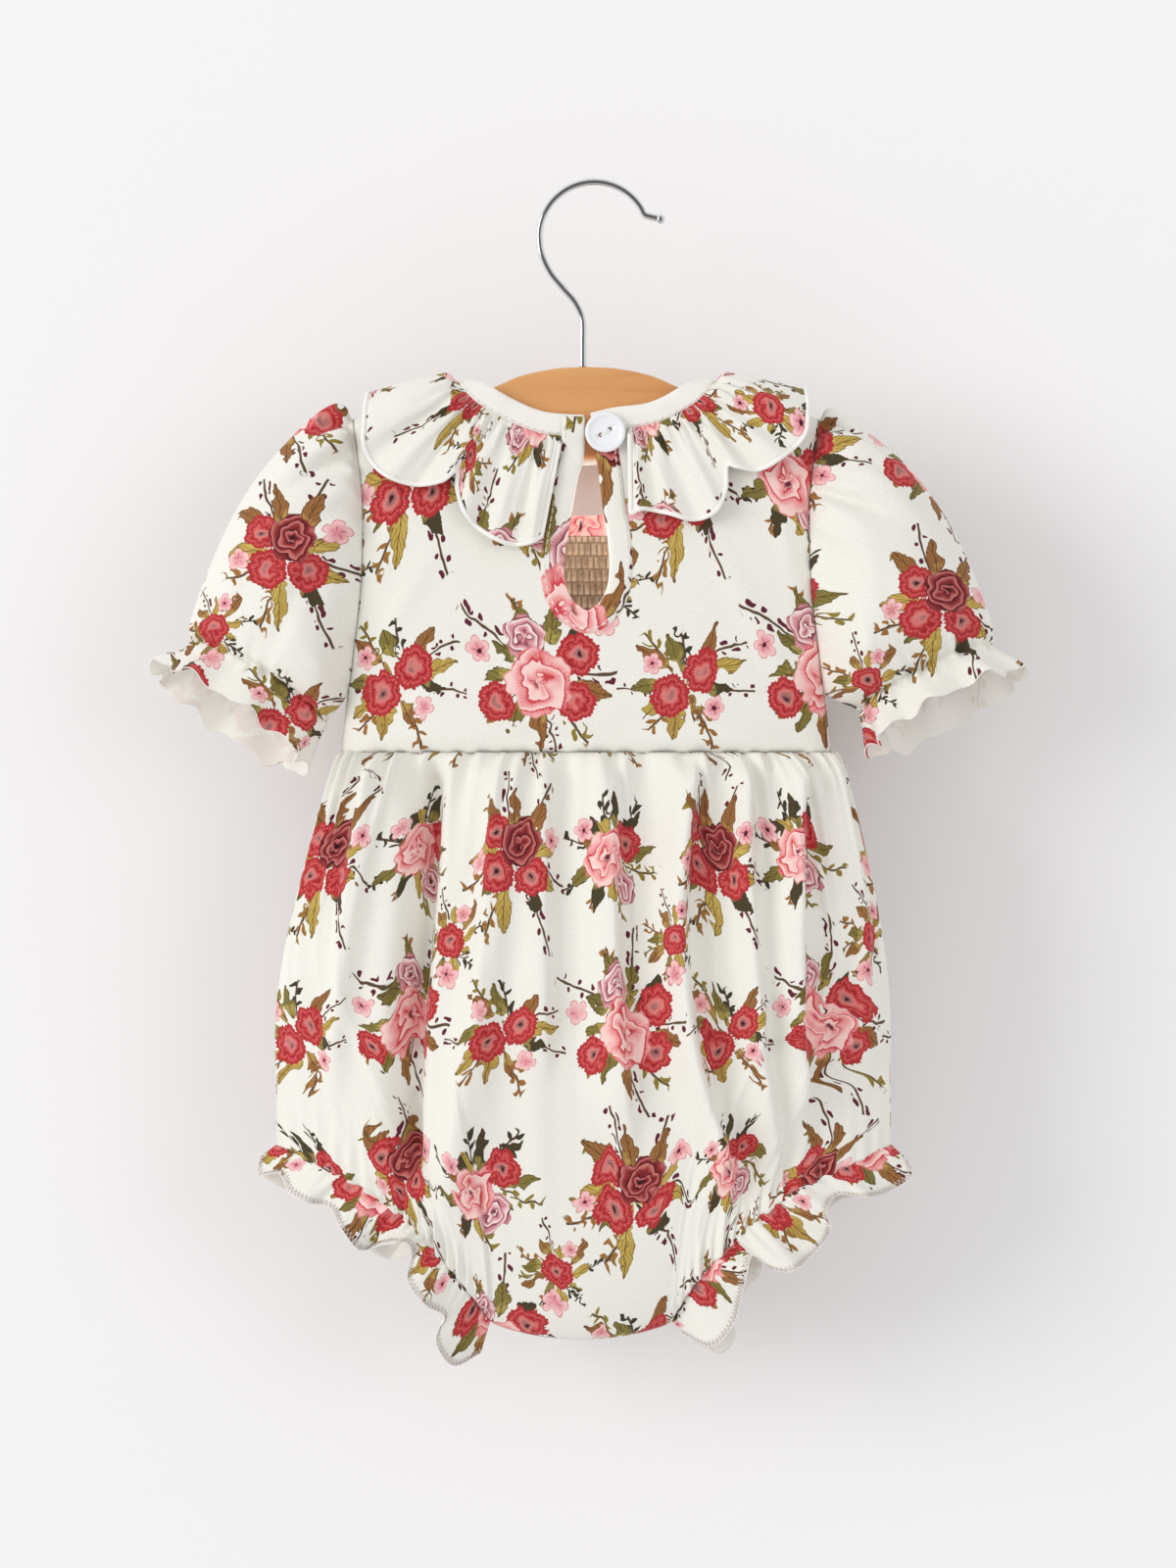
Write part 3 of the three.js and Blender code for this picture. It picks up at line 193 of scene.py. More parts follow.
BACK_FOLDS = [
    (-84, -92, -100, -102, 7, 5, 3.1, 0, -150), (-64, -67, -72, -72, 7.5, 6, -9.1, -2, -186),
    (-34, -36, -46, -54, 9, 11, 4.2, 0, -205), (-15, -16, -16, -18, 13, 3.5, 3.4, 0, -140),
    (11, 11, 14, 20, 12, 3.5, 4.4, 0, -170), (43, 37, 42, 57, 9, 4, 6, 0, -196),
    (62, 64, 68, 76, 8, 4.5, 5.2, 0, -184), (84, 83, 84, 88, 9, 4.5, 5.5, 0, -176),
    (97, 108, 114, 112, 8, 6, 2.6, 0, -150),
]
FRONT_FOLDS = [
    (-90, -99, -106, -104, 7, 5, 2.9, 0, -150), (-70, -76, -82, -84, 8, 5, 5.2, 0, -176),
    (-46, -48, -53, -60, 6, 8, -6.5, -2, -196), (-22, -24, -26, -28, 10, 4.5, 4.2, 0, -170),
    (3, 2, 4, 6, 12, 5, 3.6, 0, -180), (28, 30, 33, 36, 9, 5, 4.9, 0, -186),
    (52, 56, 60, 66, 7, 7, -7, -2, -188), (78, 85, 92, 94, 10, 5, 4.7, 0, -170),
]
print("main folds:", len(BACK_FOLDS), len(FRONT_FOLDS))

# %% [markdown]
# ## Curves
# Cloth has no corners where a table has its rows. Straight lines between the rows would show as
# facets, and a finer table would be hard to keep. read() draws a smooth curve through the rows, bell()
# is one soft ridge, and smooth() goes from 0 to 1 without a kink. All forms below are made from these.

# %% Curves
def read(rows, key, column, at):
    keys, values = rows[key], rows[column]
    if keys[-1] < keys[0]:
        keys, values = keys[::-1], values[::-1]
    at = np.clip(at, keys[0], keys[-1])
    i = np.clip(np.searchsorted(keys, at) - 1, 0, len(keys) - 2)
    order = np.arange(len(keys))
    before, after = np.maximum(order - 1, 0), np.minimum(order + 1, len(keys) - 1)
    slopes = (values[after] - values[before]) / (keys[after] - keys[before])
    span = keys[i + 1] - keys[i]
    t = (at - keys[i]) / span
    start, end = slopes[i] * span, slopes[i + 1] * span
    return (
        (2 * t**3 - 3 * t**2 + 1) * values[i]
        + (t**3 - 2 * t**2 + t) * start
        + (3 * t**2 - 2 * t**3) * values[i + 1]
        + (t**3 - t**2) * end
    )


def mix(a, b, share):
    return a + (b - a) * share


def bell(distance, spread):
    return np.exp(-((distance / spread) ** 2))


def smooth(low, high, value):
    t = np.clip((value - low) / (high - low), 0, 1)
    return t * t * (3 - 2 * t)


def xyz(x, y, z):
    return np.stack(np.broadcast_arrays(x, y, z), axis=-1).astype(float)


print("half width at the waist:", float(read(BODICE, "z", "half", 0)))

# %% [markdown]
# ## Form of the bodice
# The cloth runs up one side, bends over the shoulder and runs down the other. A box with rounded edges
# would come near it, but the print has to follow the cloth. So a point is given by x and by the length
# that it lies below the ridge of the shoulder, on the back or the front. The neck's edge is given
# by its turn in degrees, and neck_offset() steps away from it, square to the edge.

# %% Form of the bodice
def edge_depth(z):
    middle = (ARMHOLE["top"] + ARMHOLE["bottom"]) / 2
    reach = (ARMHOLE["top"] - ARMHOLE["bottom"]) / 2
    arch = np.sqrt(np.maximum(1 - ((z - middle) / reach) ** 2, 0))
    return ARMHOLE["half_depth"] * arch + SEAM_GAP / 2


def bodice_depth(x, z):
    edge = np.where(z < ARMHOLE["top"], edge_depth(z), SEAM_GAP / 2)
    share = np.clip(np.abs(x) / read(BODICE, "z", "half", z), 0, 1)
    middle = read(BODICE, "z", "depth", z)
    fullness = mix(2.6, 7, smooth(60, 130, z))
    return edge + (middle - edge) * np.sqrt(np.maximum(1 - share**fullness, 0))


def ridge(x):
    return read(RIDGE, "x", "z", np.abs(x))


def fall_of(length):
    turn = np.minimum(length / SHOULDER_ROUND, math.pi / 2)
    return SHOULDER_ROUND * (1 - np.cos(turn)) + np.maximum(length - QUARTER_TURN, 0)


def length_of(fall):
    fall = np.maximum(fall, 0)
    turn = SHOULDER_ROUND * np.arccos(1 - np.minimum(fall, SHOULDER_ROUND) / SHOULDER_ROUND)
    return turn + np.maximum(fall - SHOULDER_ROUND, 0)


def on_bodice(x, length, lift=0.0):
    side = np.where(length < 0, FRONT, BACK)
    turn = np.minimum(np.abs(length) / SHOULDER_ROUND, math.pi / 2)
    z = ridge(x) - fall_of(np.abs(length))
    return xyz(x, side * (bodice_depth(x, z) + lift) * np.sin(turn), z + lift * np.cos(turn))


def neck_height(x, side):
    height = read(NECKLINE, "x", "back" if side == BACK else "front", np.abs(x))
    return height + (2.6 * bell(x - 15, 12) if side == BACK else 0)


def neck_place(turn):
    angle = np.radians(turn)
    x = NECK["half"] * np.sin(angle)
    back = length_of(ridge(x) - neck_height(x, BACK))
    front = -length_of(ridge(x) - neck_height(x, FRONT))
    return np.stack([x, np.where(np.cos(angle) > 0, back, front)], axis=-1)


def neck_offset(turn, distance):
    along = neck_place(turn + 1.5) - neck_place(turn - 1.5)
    along /= np.linalg.norm(along, axis=-1, keepdims=True)
    across = np.stack([-along[..., 1], along[..., 0]], axis=-1)
    return neck_place(turn) + across * np.asarray(distance)[..., None]


print("depth at the middle of the waist:", round(float(bodice_depth(0.0, 0.0)), 1))

# %% [markdown]
# ## Form of the collar
# The collar is sewn in at the neck and lies loosely on the bodice. It could be a flat ring that a
# cloth solver drops, but the scallops of the photo would be lost. Each point is mixed from the neck's
# edge (out = 0) and the free edge (out = 1), then lifted: by the flare of the ruffle, by small
# gathers close to the seam and by a frill farther out.

# %% Form of the collar
def collar_point(at, out, hand):
    own = LEFT_COLLAR if hand == LEFT else RIGHT_COLLAR
    turn = np.where(at < 2, read(own, "at", "turn", at), read(FRONT_COLLAR, "at", "turn", at))
    rim_x = hand * np.where(at < 2, read(own, "at", "x", at), read(FRONT_COLLAR, "at", "x", at))
    rim_z = np.where(at < 2, read(own, "at", "z", at), read(FRONT_COLLAR, "at", "z", at))
    start = neck_offset(360 - turn if hand == LEFT else turn, np.full(at.shape, -0.7))
    rim_length = length_of(ridge(rim_x) - rim_z) * np.where(at < 2, 1, -1)
    x, length = mix(start[..., 0], rim_x, out), mix(start[..., 1], rim_length, out)
    ripple = 0.5 - 0.5 * np.cos(TAU * 3.1 * at)
    flare = 2.2 * np.sqrt(out) + 3.2 * ripple * smooth(0.02, 0.7, out)
    stand = (1.6 if hand == LEFT else 3.2) * bell(at - 2, 0.6) * out
    phase = 2.2 * np.sin(TAU * 0.9 * at + hand) + 1.3 * np.sin(TAU * 2.3 * at)
    pleats = 0.9 * np.sin(TAU * 8.3 * at + phase) + 0.45 * np.sin(TAU * 13.1 * at - phase)
    gather = pleats * bell(out - 0.12, 0.26)
    frill = 0.5 * np.sin(TAU * 5.3 * at + phase) * bell(out - 0.6, 0.35)
    rise = mix(1, CLOTH + SEAM_GAP + 0.9 + bell(at - 2, 0.25) + stand, smooth(0, 0.14, out))
    return on_bodice(x, length, rise + (flare + gather + frill) * smooth(0, 0.08, out))


print("collar edge at the shoulder:", np.round(collar_point(np.ones(1), np.ones(1), LEFT)[0], 1))

# %% [markdown]
# ## Form of the sleeves
# The sleeve's head is eased into the armhole with small pleats, and elastic gathers it above the
# ruffle. Ridges could be sculpted with a brush, but then they could not be moved later. Each ring is
# an ellipse, and waves, pleats and creases push its points out along the ellipse's own normal, so
# that they show from the front as well as from the side. The longest creases are listed one by one.

# %% Form of the sleeves
ELASTIC = 7
CAP_CREASES = {
    LEFT: [
        (105, 118, -38, 15, 2.2, -2.6), (108, 123, -34, 15, 3.4, 2.2), (102, 108, -52, 13, 3.4, 1.8),
        (103, 129, -14, 9, 2.2, -1.6), (104, 60, -80, 16, 4, 1.4), (136, 74, -62, 18, 5, 1.2),
        (122, 52, -70, 14, 4, -1.4), (146, 62, -58, 12, 3.4, 1.3),
    ],
    RIGHT: [
        (106, 117, -10, 16, 1.9, -3.0), (108, 121.4, -8, 17, 3.2, 2.6), (105, 103, -24, 17, 1.9, -3.2),
        (107, 108.5, -18, 16, 3.4, 2.8), (104, 97.5, -34, 13, 3.2, 1.8), (102, 130, -4, 9, 2.2, -1.8),
        (112, 48, -76, 18, 4, 1.4), (124, 60, -72, 18, 4.5, -1.5), (138, 66, -64, 20, 5, 1.4),
        (152, 62, -58, 14, 3.6, -1.4),
    ],
}


def creased(creases, x, z):
    """Ridges and troughs, each with its middle, its turn in degrees, its length, width and height."""
    height = 0
    for x0, z0, angle, length, wide, tall in creases:
        cosine, sine = math.cos(math.radians(angle)), math.sin(math.radians(angle))
        along = (x - x0) * cosine + (z - z0) * sine
        across = -(x - x0) * sine + (z - z0) * cosine
        height = height + tall * bell(along, length) * bell(across, wide)
    return height


def ring_rows(rows):
    """The rows of a sleeve with the number of each ring beside them."""
    return {**rows, "ring": np.arange(len(rows["depth"]), dtype=float)}


def sleeve_point(rows, at, turn, hand, wrinkles=None):
    ring = ring_rows(rows)
    outer = [read(ring, "ring", "outer_" + k, at) for k in "xz"]
    inner = [read(ring, "ring", "inner_" + k, at) for k in "xz"]
    depth, lean = read(ring, "ring", "depth", at), read(ring, "ring", "lean", at)
    centre = [(a + b) / 2 for a, b in zip(outer, inner)]
    half = [(a - b) / 2 for a, b in zip(outer, inner)]
    size = np.hypot(*half)
    down = [half[1] / size, -half[0] / size]
    cosine, sine = np.cos(turn), np.sin(turn)
    signed = np.where(turn > math.pi, turn - TAU, turn)
    cap = 2.6 * np.cos(turn * 11 + 0.6) * bell(at - 0.9, 1.1) * bell(signed, 0.9)
    elastic = 0.9 * np.cos(turn * 22) * bell(at - ELASTIC, 0.55)
    hem = 2.6 * np.cos(turn * 8 + 0.8) * smooth(7.2, 10, at)
    swell = (cap + elastic + hem + (wrinkles(at, signed) if wrinkles else 0)) * smooth(0, 0.35, at)
    swell = swell / np.sqrt((depth * cosine) ** 2 + (size * sine) ** 2)
    wide = cosine * (1 + swell * depth / size)
    reach = lean * sine + (1.5 * np.sin(turn * 9 + 1) + 0.9 * np.sin(turn * 15)) * smooth(7.4, 10, at)
    x = centre[0] + half[0] * wide + down[0] * reach
    z = centre[1] + half[1] * wide + down[1] * reach
    head = mix(rows["inner_z"][0], rows["outer_z"][0], 0.5 + 0.5 * cosine)
    straight = mix(rows["inner_x"][0], rows["outer_x"][0], 0.5 + 0.5 * cosine)
    armhole = (read(BODICE, "z", "half", head) - straight) * (1 - smooth(0, 2.6, at))
    crease = creased(CAP_CREASES[hand] if wrinkles else [], x, z)
    crease = crease * smooth(0, 0.5, at) * np.abs(sine) ** 0.5 * np.sign(sine)
    return xyz(hand * (x + armhole), sine * (depth + swell * size) + crease, z)


cap_top = sleeve_point(LEFT_SLEEVE, np.full(1, 3.0), np.zeros(1), LEFT)[0]
print("top of the left sleeve:", np.round(cap_top, 1))

# %% [markdown]
# ## Form of the lower part
# Folds fall from the gathered waist and die out towards the legs. They could be painted as shadows,
# but they are deep enough to bend the print and to catch the light, so they are modelled. across runs
# from one side seam to the other and down from the waist to the leg line. Folds, gathers and small
# creases are added up as a height, which is calmed to nothing at the side seams and at the crotch.

# %% Form of the lower part
FOLD_GAIN, FOLD_SPREAD = 1.8, 0.85


def fold_height(folds, x, z):
    height = 0
    heights = np.array([0, -60, -120, -180, -240.0])
    for top, upper, lower, foot, left, right, tall, start, end in folds:
        line = {"z": heights, "x": np.array([top, upper, lower, foot, foot], float)}
        distance = x - read(line, "z", "x", z)
        spread = FOLD_SPREAD * np.where(distance < 0, left, right)
        fades = smooth(start + 2, start - 12, z), smooth(end, end + 40, z)
        height = height + FOLD_GAIN * tall * bell(distance, spread) * fades[0] * fades[1]
    return height


def lower_end(across):
    share = np.minimum(np.minimum(across, 1 - across) / LEG_SHARE, 1)
    leg = np.minimum(across, 1 - across) < LEG_SHARE
    leg_x = np.where(across < 0.5, -read(LEG_LINE, "share", "left", share), read(LEG_LINE, "share", "right", share))
    middle = np.clip((across - LEG_SHARE) / (1 - 2 * LEG_SHARE), 0, 1)
    sag = (CROTCH_Z - LEG_LINE["z"][-1]) * np.sin(math.pi * middle) ** 0.7
    x = np.where(leg, leg_x, mix(-LEG_LINE["left"][-1], LEG_LINE["right"][-1], middle))
    z = np.where(leg, read(LEG_LINE, "share", "z", share), LEG_LINE["z"][-1] + sag)
    return x, np.where(leg, read(LEG_LINE, "share", "y", share), 0), z, leg


def lower_point(across, down, side, folds, small):
    end_x, end_y, end_z, leg = lower_end(across)
    angle = math.pi * (across - 0.5)
    z = mix(0, end_z, down)
    width = np.where(across < 0.5, read(LOWER, "z", "left", z), read(LOWER, "z", "right", z))
    depth = read(LOWER, "z", "depth", z)
    settle = 1 - np.sqrt(1 - down ** np.where(leg, 7, 5))
    x = mix(width * np.sin(angle), end_x, smooth(0.35, 1, down))
    cosine = np.maximum(np.cos(angle), 0)
    plain = mix(depth * cosine**0.8, end_y, settle)
    rim = np.minimum(across, 1 - across)
    calm = smooth(0, 0.07, rim) * np.where(leg, 1 - 0.5 * down**12, 1 - down**6)
    gather = 1.5 * bell(z, 20) * np.cos(TAU * 22 * across + 1.1 * side)
    share = np.clip(rim / LEG_SHARE, 0, 1)
    from_end = (1 - down) * np.abs(end_z)
    bow = np.sqrt(np.abs(np.sin(math.pi * share)))
    pucker = leg * 1.1 * bell(from_end, 14) * bow * np.cos(TAU * 17 * share)
    height = (fold_height(folds, x, z) + gather + small(across, z)) * calm
    tight = leg * leg_tucks(share, from_end, side) * bow
    height = height + pucker + tight - 1.2 * bell(z, 2.2) * smooth(0, 0.1, rim)
    out = np.maximum(plain + height * cosine**0.3, SEAM_GAP / 2)
    return xyz(x + 0.55 * np.sin(angle) * height, side * out, z)


# %% [markdown]
# ## Form of the leg ruffles
# Below the elastic the cloth stands out in a narrow ruffle. A flat strip with a wave would do from
# far off, but its rim is given point by point in the table, as it shows most. Each point is mixed from the
# elastic (out = 0) and the rim (out = 1), and short tucks and a crimp are added.

# %% Form of the leg ruffles
def leg_loop(turn, hand):
    share = np.where(turn < 0.5, turn * 2, 2 - turn * 2)
    side = np.where(turn < 0.5, BACK, FRONT)
    x = read(LEG_LINE, "share", "left" if hand == LEFT else "right", share)
    return xyz(hand * x, side * read(LEG_LINE, "share", "y", share), read(LEG_LINE, "share", "z", share))


def leg_ruffle_point(turn, out, hand):
    share = np.where(turn < 0.5, turn * 2, 2 - turn * 2)
    own, other = (LEFT_RIM, RIGHT_RIM) if hand == LEFT else (RIGHT_RIM, LEFT_RIM)
    elastic = leg_loop(turn, hand)
    hidden = np.where(turn < 0.5, 0, smooth(0, 0.1, share) * smooth(0, 0.1, 1 - share))
    rim = [mix(read(own, "share", k, share), read(other, "share", k, share), hidden) for k in "xz"]
    bow = np.sin(math.pi * share)
    wave = np.sin(TAU * 5.5 * share + 0.9) * bow
    side = np.where(turn < 0.5, BACK, FRONT)
    fall = xyz(hand * rim[0], elastic[..., 1] + side * (2 * bow + 4.5 * wave), rim[1]) - elastic
    tuck = 0.7 * bow * np.sin(TAU * 24 * share + 3 * np.sin(9 * share)) * bell(out - 0.2, 0.5)
    crimp = 0.8 * bow * np.sin(TAU * 15 * share + hand) * out**2
    point = elastic + fall * out[..., None]
    point[..., 1] += side * (tuck + crimp)
    return point


print("back of the left leg line:", np.round(leg_loop(np.full(1, 0.25), LEFT)[0], 1))

# %% [markdown]
# ## Small creases
# Elastic and gathering thread leave many short ridges, and no two are alike. A regular wave would look
# like a machine part, and placing each by hand would take long. So they are drawn by chance within
# set limits. The draw is seeded, and the same creases come every time.

# %% Creases
chance = np.random.default_rng(11)


def scattered(count, low, high, rows):
    places = np.linspace(low, high, count) + chance.uniform(-0.35, 0.35, count) * (high - low) / count
    return [(place, *(chance.uniform(a, b) for a, b in rows)) for place in places]


WAIST_RIDGES = {
    side: scattered(32, 0.02, 0.98, [(0.0055, 0.0115), (2.0, 5.4), (9, 62), (-0.00015, 0.00015)])
    for side in (BACK, FRONT)
}
SOFT_FOLDS = {
    side: scattered(13, 0.06, 0.94, [(0.01, 0.026), (-2.5, 2.8), (-150, -40), (40, 80)])
    for side in (BACK, FRONT)
}
TUCKS = {
    side: scattered(30, 0.04, 0.97, [(0.008, 0.016), (0.5, 1.8), (8, 30), (-0.002, 0.002)])
    for side in (BACK, FRONT)
}


def lower_small(side):
    def small(across, z):
        height = 0
        for spot, width, tall, length, drift in WAIST_RIDGES[side]:
            height = height + tall * bell(across - spot + drift * z, width) * np.exp(z / length)
        for spot, width, tall, middle, reach in SOFT_FOLDS[side]:
            height = height + tall * bell(across - spot, width) * bell(z - middle, reach)
        return height

    return small


def leg_tucks(share, from_end, side):
    height = 0
    for spot, width, tall, length, drift in TUCKS[side]:
        fade = np.exp(-((from_end / length) ** 1.5))
        height = height + tall * bell(share - spot - drift * from_end, width) * fade
    return height


print("creases:", 2 * (len(WAIST_RIDGES[BACK]) + len(SOFT_FOLDS[BACK]) + len(TUCKS[BACK])))


# %% [markdown]
# The sleeves have pleats at the head, tucks at the elastic and a few soft folds between them. Each
# sleeve has a seed of its own, because a mirrored pair would look like a copy. The bodice hangs almost
# smooth, so a short list of faint creases is enough there.

# %% Creases of the sleeves and the bodice
def sleeve_wrinkles(seed):
    draw = np.random.default_rng(seed).uniform
    pleats = [
        (spot, draw(0.035, 0.06), draw(1.8, 4.4), draw(0.9, 3.2), draw(-0.08, 0.08))
        for spot in np.linspace(-1.4, 1.4, 13) + draw(-0.07, 0.07, 13)
    ]
    tucks = [
        (spot, draw(0.04, 0.075), draw(1.2, 3.2), draw(0.5, 1.4))
        for spot in np.linspace(-math.pi, math.pi, 32) + draw(-0.06, 0.06, 32)
    ]
    soft = [
        (draw(-2.4, 2.4), draw(0.12, 0.3), draw(-1.6, 1.6), draw(2.5, 5.5), draw(0.7, 1.6))
        for _ in range(12)
    ]

    def wrinkles(at, signed):
        height = 0
        for spot, width, tall, length, drift in pleats:
            ring = smooth(0.05, 0.5, at) * np.exp(-((at / length) ** 2))
            height = height + tall * bell(signed - spot - drift * at, width * (1 + 0.45 * at)) * ring
        pinch = 1 - 0.75 * bell(at - ELASTIC, 0.16)
        for spot, width, tall, length in tucks:
            height = height + tall * bell(signed - spot, width) * bell(at - ELASTIC, length) * pinch
        for spot, width, tall, middle, length in soft:
            leaning = signed - spot - 0.1 * (at - middle)
            height = height + tall * bell(leaning, width) * bell(at - middle, length)
        return height - 0.8 * bell(at - ELASTIC, 0.3)

    return wrinkles


BODICE_CREASES = [
    (-74, 60, 62, 34, 5, 1.0), (-60, 34, 30, 30, 6, -0.8), (70, 52, 118, 36, 5, 1.1), (56, 24, 150, 30, 6, -0.8),
    (-30, 28, 8, 30, 5, 0.6), (28, 40, 172, 26, 6, 0.6), (-80, 92, 80, 26, 4, 0.8), (80, 92, 100, 26, 4, 0.9),
]


def bodice_creases(x, z, side):
    height = 0.9 * bell(z - 6 + 0.02 * x, 4) * np.sin(x / 17 + side) + creased(BODICE_CREASES, x, z)
    return height * smooth(96, 80, np.abs(x)) * smooth(0, 6, z)


print("creases of the bodice:", len(BODICE_CREASES))

# %% [markdown]
# ## Sheets
# Cloth is a thin wall with a right and a wrong side. A box pressed thin would have to be bent on both
# faces. Here a sheet starts as a flat grid, each vertex is moved on to the form, and a Solidify modifier
# gives it its thickness towards the inside. Its map holds the place of each point on the flat cloth,
# in metres, so that the print keeps its real size and runs along the cloth.

# %% Sheet maker
def flat_cloth(points, middle_column, middle_row, squeeze=None):
    along = np.linalg.norm(np.diff(points, axis=1), axis=-1)
    across = np.linalg.norm(np.diff(points, axis=0), axis=-1)
    u = np.concatenate([np.zeros((len(points), 1)), np.cumsum(along, axis=1)], axis=1)
    v = np.concatenate([np.zeros((1, points.shape[1])), np.cumsum(across, axis=0)], axis=0)
    u = u - u[:, [middle_column]]
    if squeeze is None:
        v = np.repeat(v[:, [middle_column]], points.shape[1], axis=1)
    else:
        u = u * squeeze[:, None]
    return np.stack([u, -(v - v[[middle_row]])], axis=-1) / 1000


def strip_cloth(points, middle_column):
    rim = np.linalg.norm(np.diff(points[-1], axis=0), axis=-1)
    u = np.concatenate([[0], np.cumsum(rim)])
    across = np.linalg.norm(np.diff(points, axis=0), axis=-1).mean(axis=1)
    v = np.concatenate([[0], np.cumsum(across)])
    return xyz((u - u[middle_column])[None, :], -v[:, None], 0)[..., :2] / 1000


def show(name, bm, materials):
    """Turns a bmesh into an object of the scene."""
    mesh = bpy.data.meshes.new(name)
    bm.to_mesh(mesh)
    bm.free()
    for material in materials:
        mesh.materials.append(material)
    obj = bpy.data.objects.new(name, mesh)
    bpy.context.scene.collection.objects.link(obj)
    return obj


def sheet(name, points, cloth, materials, thickness=1.0, ring=False, drop=None):
    rows, cols = points.shape[:2]
    bm = bmesh.new()
    layer = bm.loops.layers.uv.new("cloth")
    bmesh.ops.create_grid(bm, x_segments=cols - 1, y_segments=rows - 1, size=1)
    spot = {}
    world = place(points)
    for v in bm.verts:
        j = round((v.co.x + 1) / 2 * (cols - 1))
        i = round((v.co.y + 1) / 2 * (rows - 1))
        spot[v] = (i, j)
        v.co = world[i, j]
    for face in bm.faces:
        face.smooth = True
        for loop in face.loops:
            loop[layer].uv = cloth[spot[loop.vert]]
    if drop is not None:
        gone = [f for f in bm.faces if drop(f.calc_center_median() * 1000 + Vector(ORIGIN))]
        bmesh.ops.delete(bm, geom=gone, context="FACES")
    if ring:
        bmesh.ops.remove_doubles(bm, verts=bm.verts, dist=1e-6)
    bm.normal_update()
    outwards = sum(f.normal.y * f.calc_center_median().y * f.calc_area() for f in bm.faces)
    if outwards < 0:
        bmesh.ops.reverse_faces(bm, faces=bm.faces)
    obj = show(name, bm, materials)
    solid = obj.modifiers.new("thickness", "SOLIDIFY")
    solid.thickness = thickness / 1000
    solid.offset = -1
    solid.use_even_offset = False
    solid.material_offset = 1 if len(materials) > 1 else 0
    print(name, "faces:", len(obj.data.polygons))
    return obj


# %% [markdown]
# ## Tubes
# Threads, the rolled rim of the collar and the wire of the hook are round all along. Cylinders set
# end to end would gape at every bend. A curve with a round bevel follows any line and closes its own
# ends, and it is turned into a mesh so that the export can count and bake it.

# %% Tube maker
def tube(name, lines, radius, material, sides=8):
    """A round thread or wire along each line: a curve with a bevel, turned into a closed mesh."""
    curve = bpy.data.curves.new(name, "CURVE")
    curve.dimensions = "3D"
    curve.fill_mode = "FULL"
    curve.bevel_depth = radius / 1000
    curve.bevel_resolution = (sides - 4) // 2
    curve.use_fill_caps = True
    for line in lines:
        spline = curve.splines.new("POLY")
        spline.points.add(len(line) - 1)
        for point, spot in zip(spline.points, place(line)):
            point.co = (*spot, 1)
    thread_line = bpy.data.objects.new(name, curve)
    bm = bmesh.new()
    bm.from_mesh(bpy.data.meshes.new_from_object(thread_line))
    bpy.data.curves.remove(curve)
    bmesh.ops.remove_doubles(bm, verts=bm.verts, dist=1e-6)
    bmesh.ops.recalc_face_normals(bm, faces=bm.faces)
    for face in bm.faces:
        face.smooth = len(face.verts) == 4
    print(name, "lines:", len(lines))
    return show(name, bm, [material])


# %% [markdown]
# ## Node helpers
# The finishes are worked out by shader nodes, so that they stay sharp at any distance. The nodes could
# be placed by hand in the editor, or a picture could be wrapped round the cloth. Short helpers write
# the same sums as a few readable lines, and a node group holds what several finishes share.

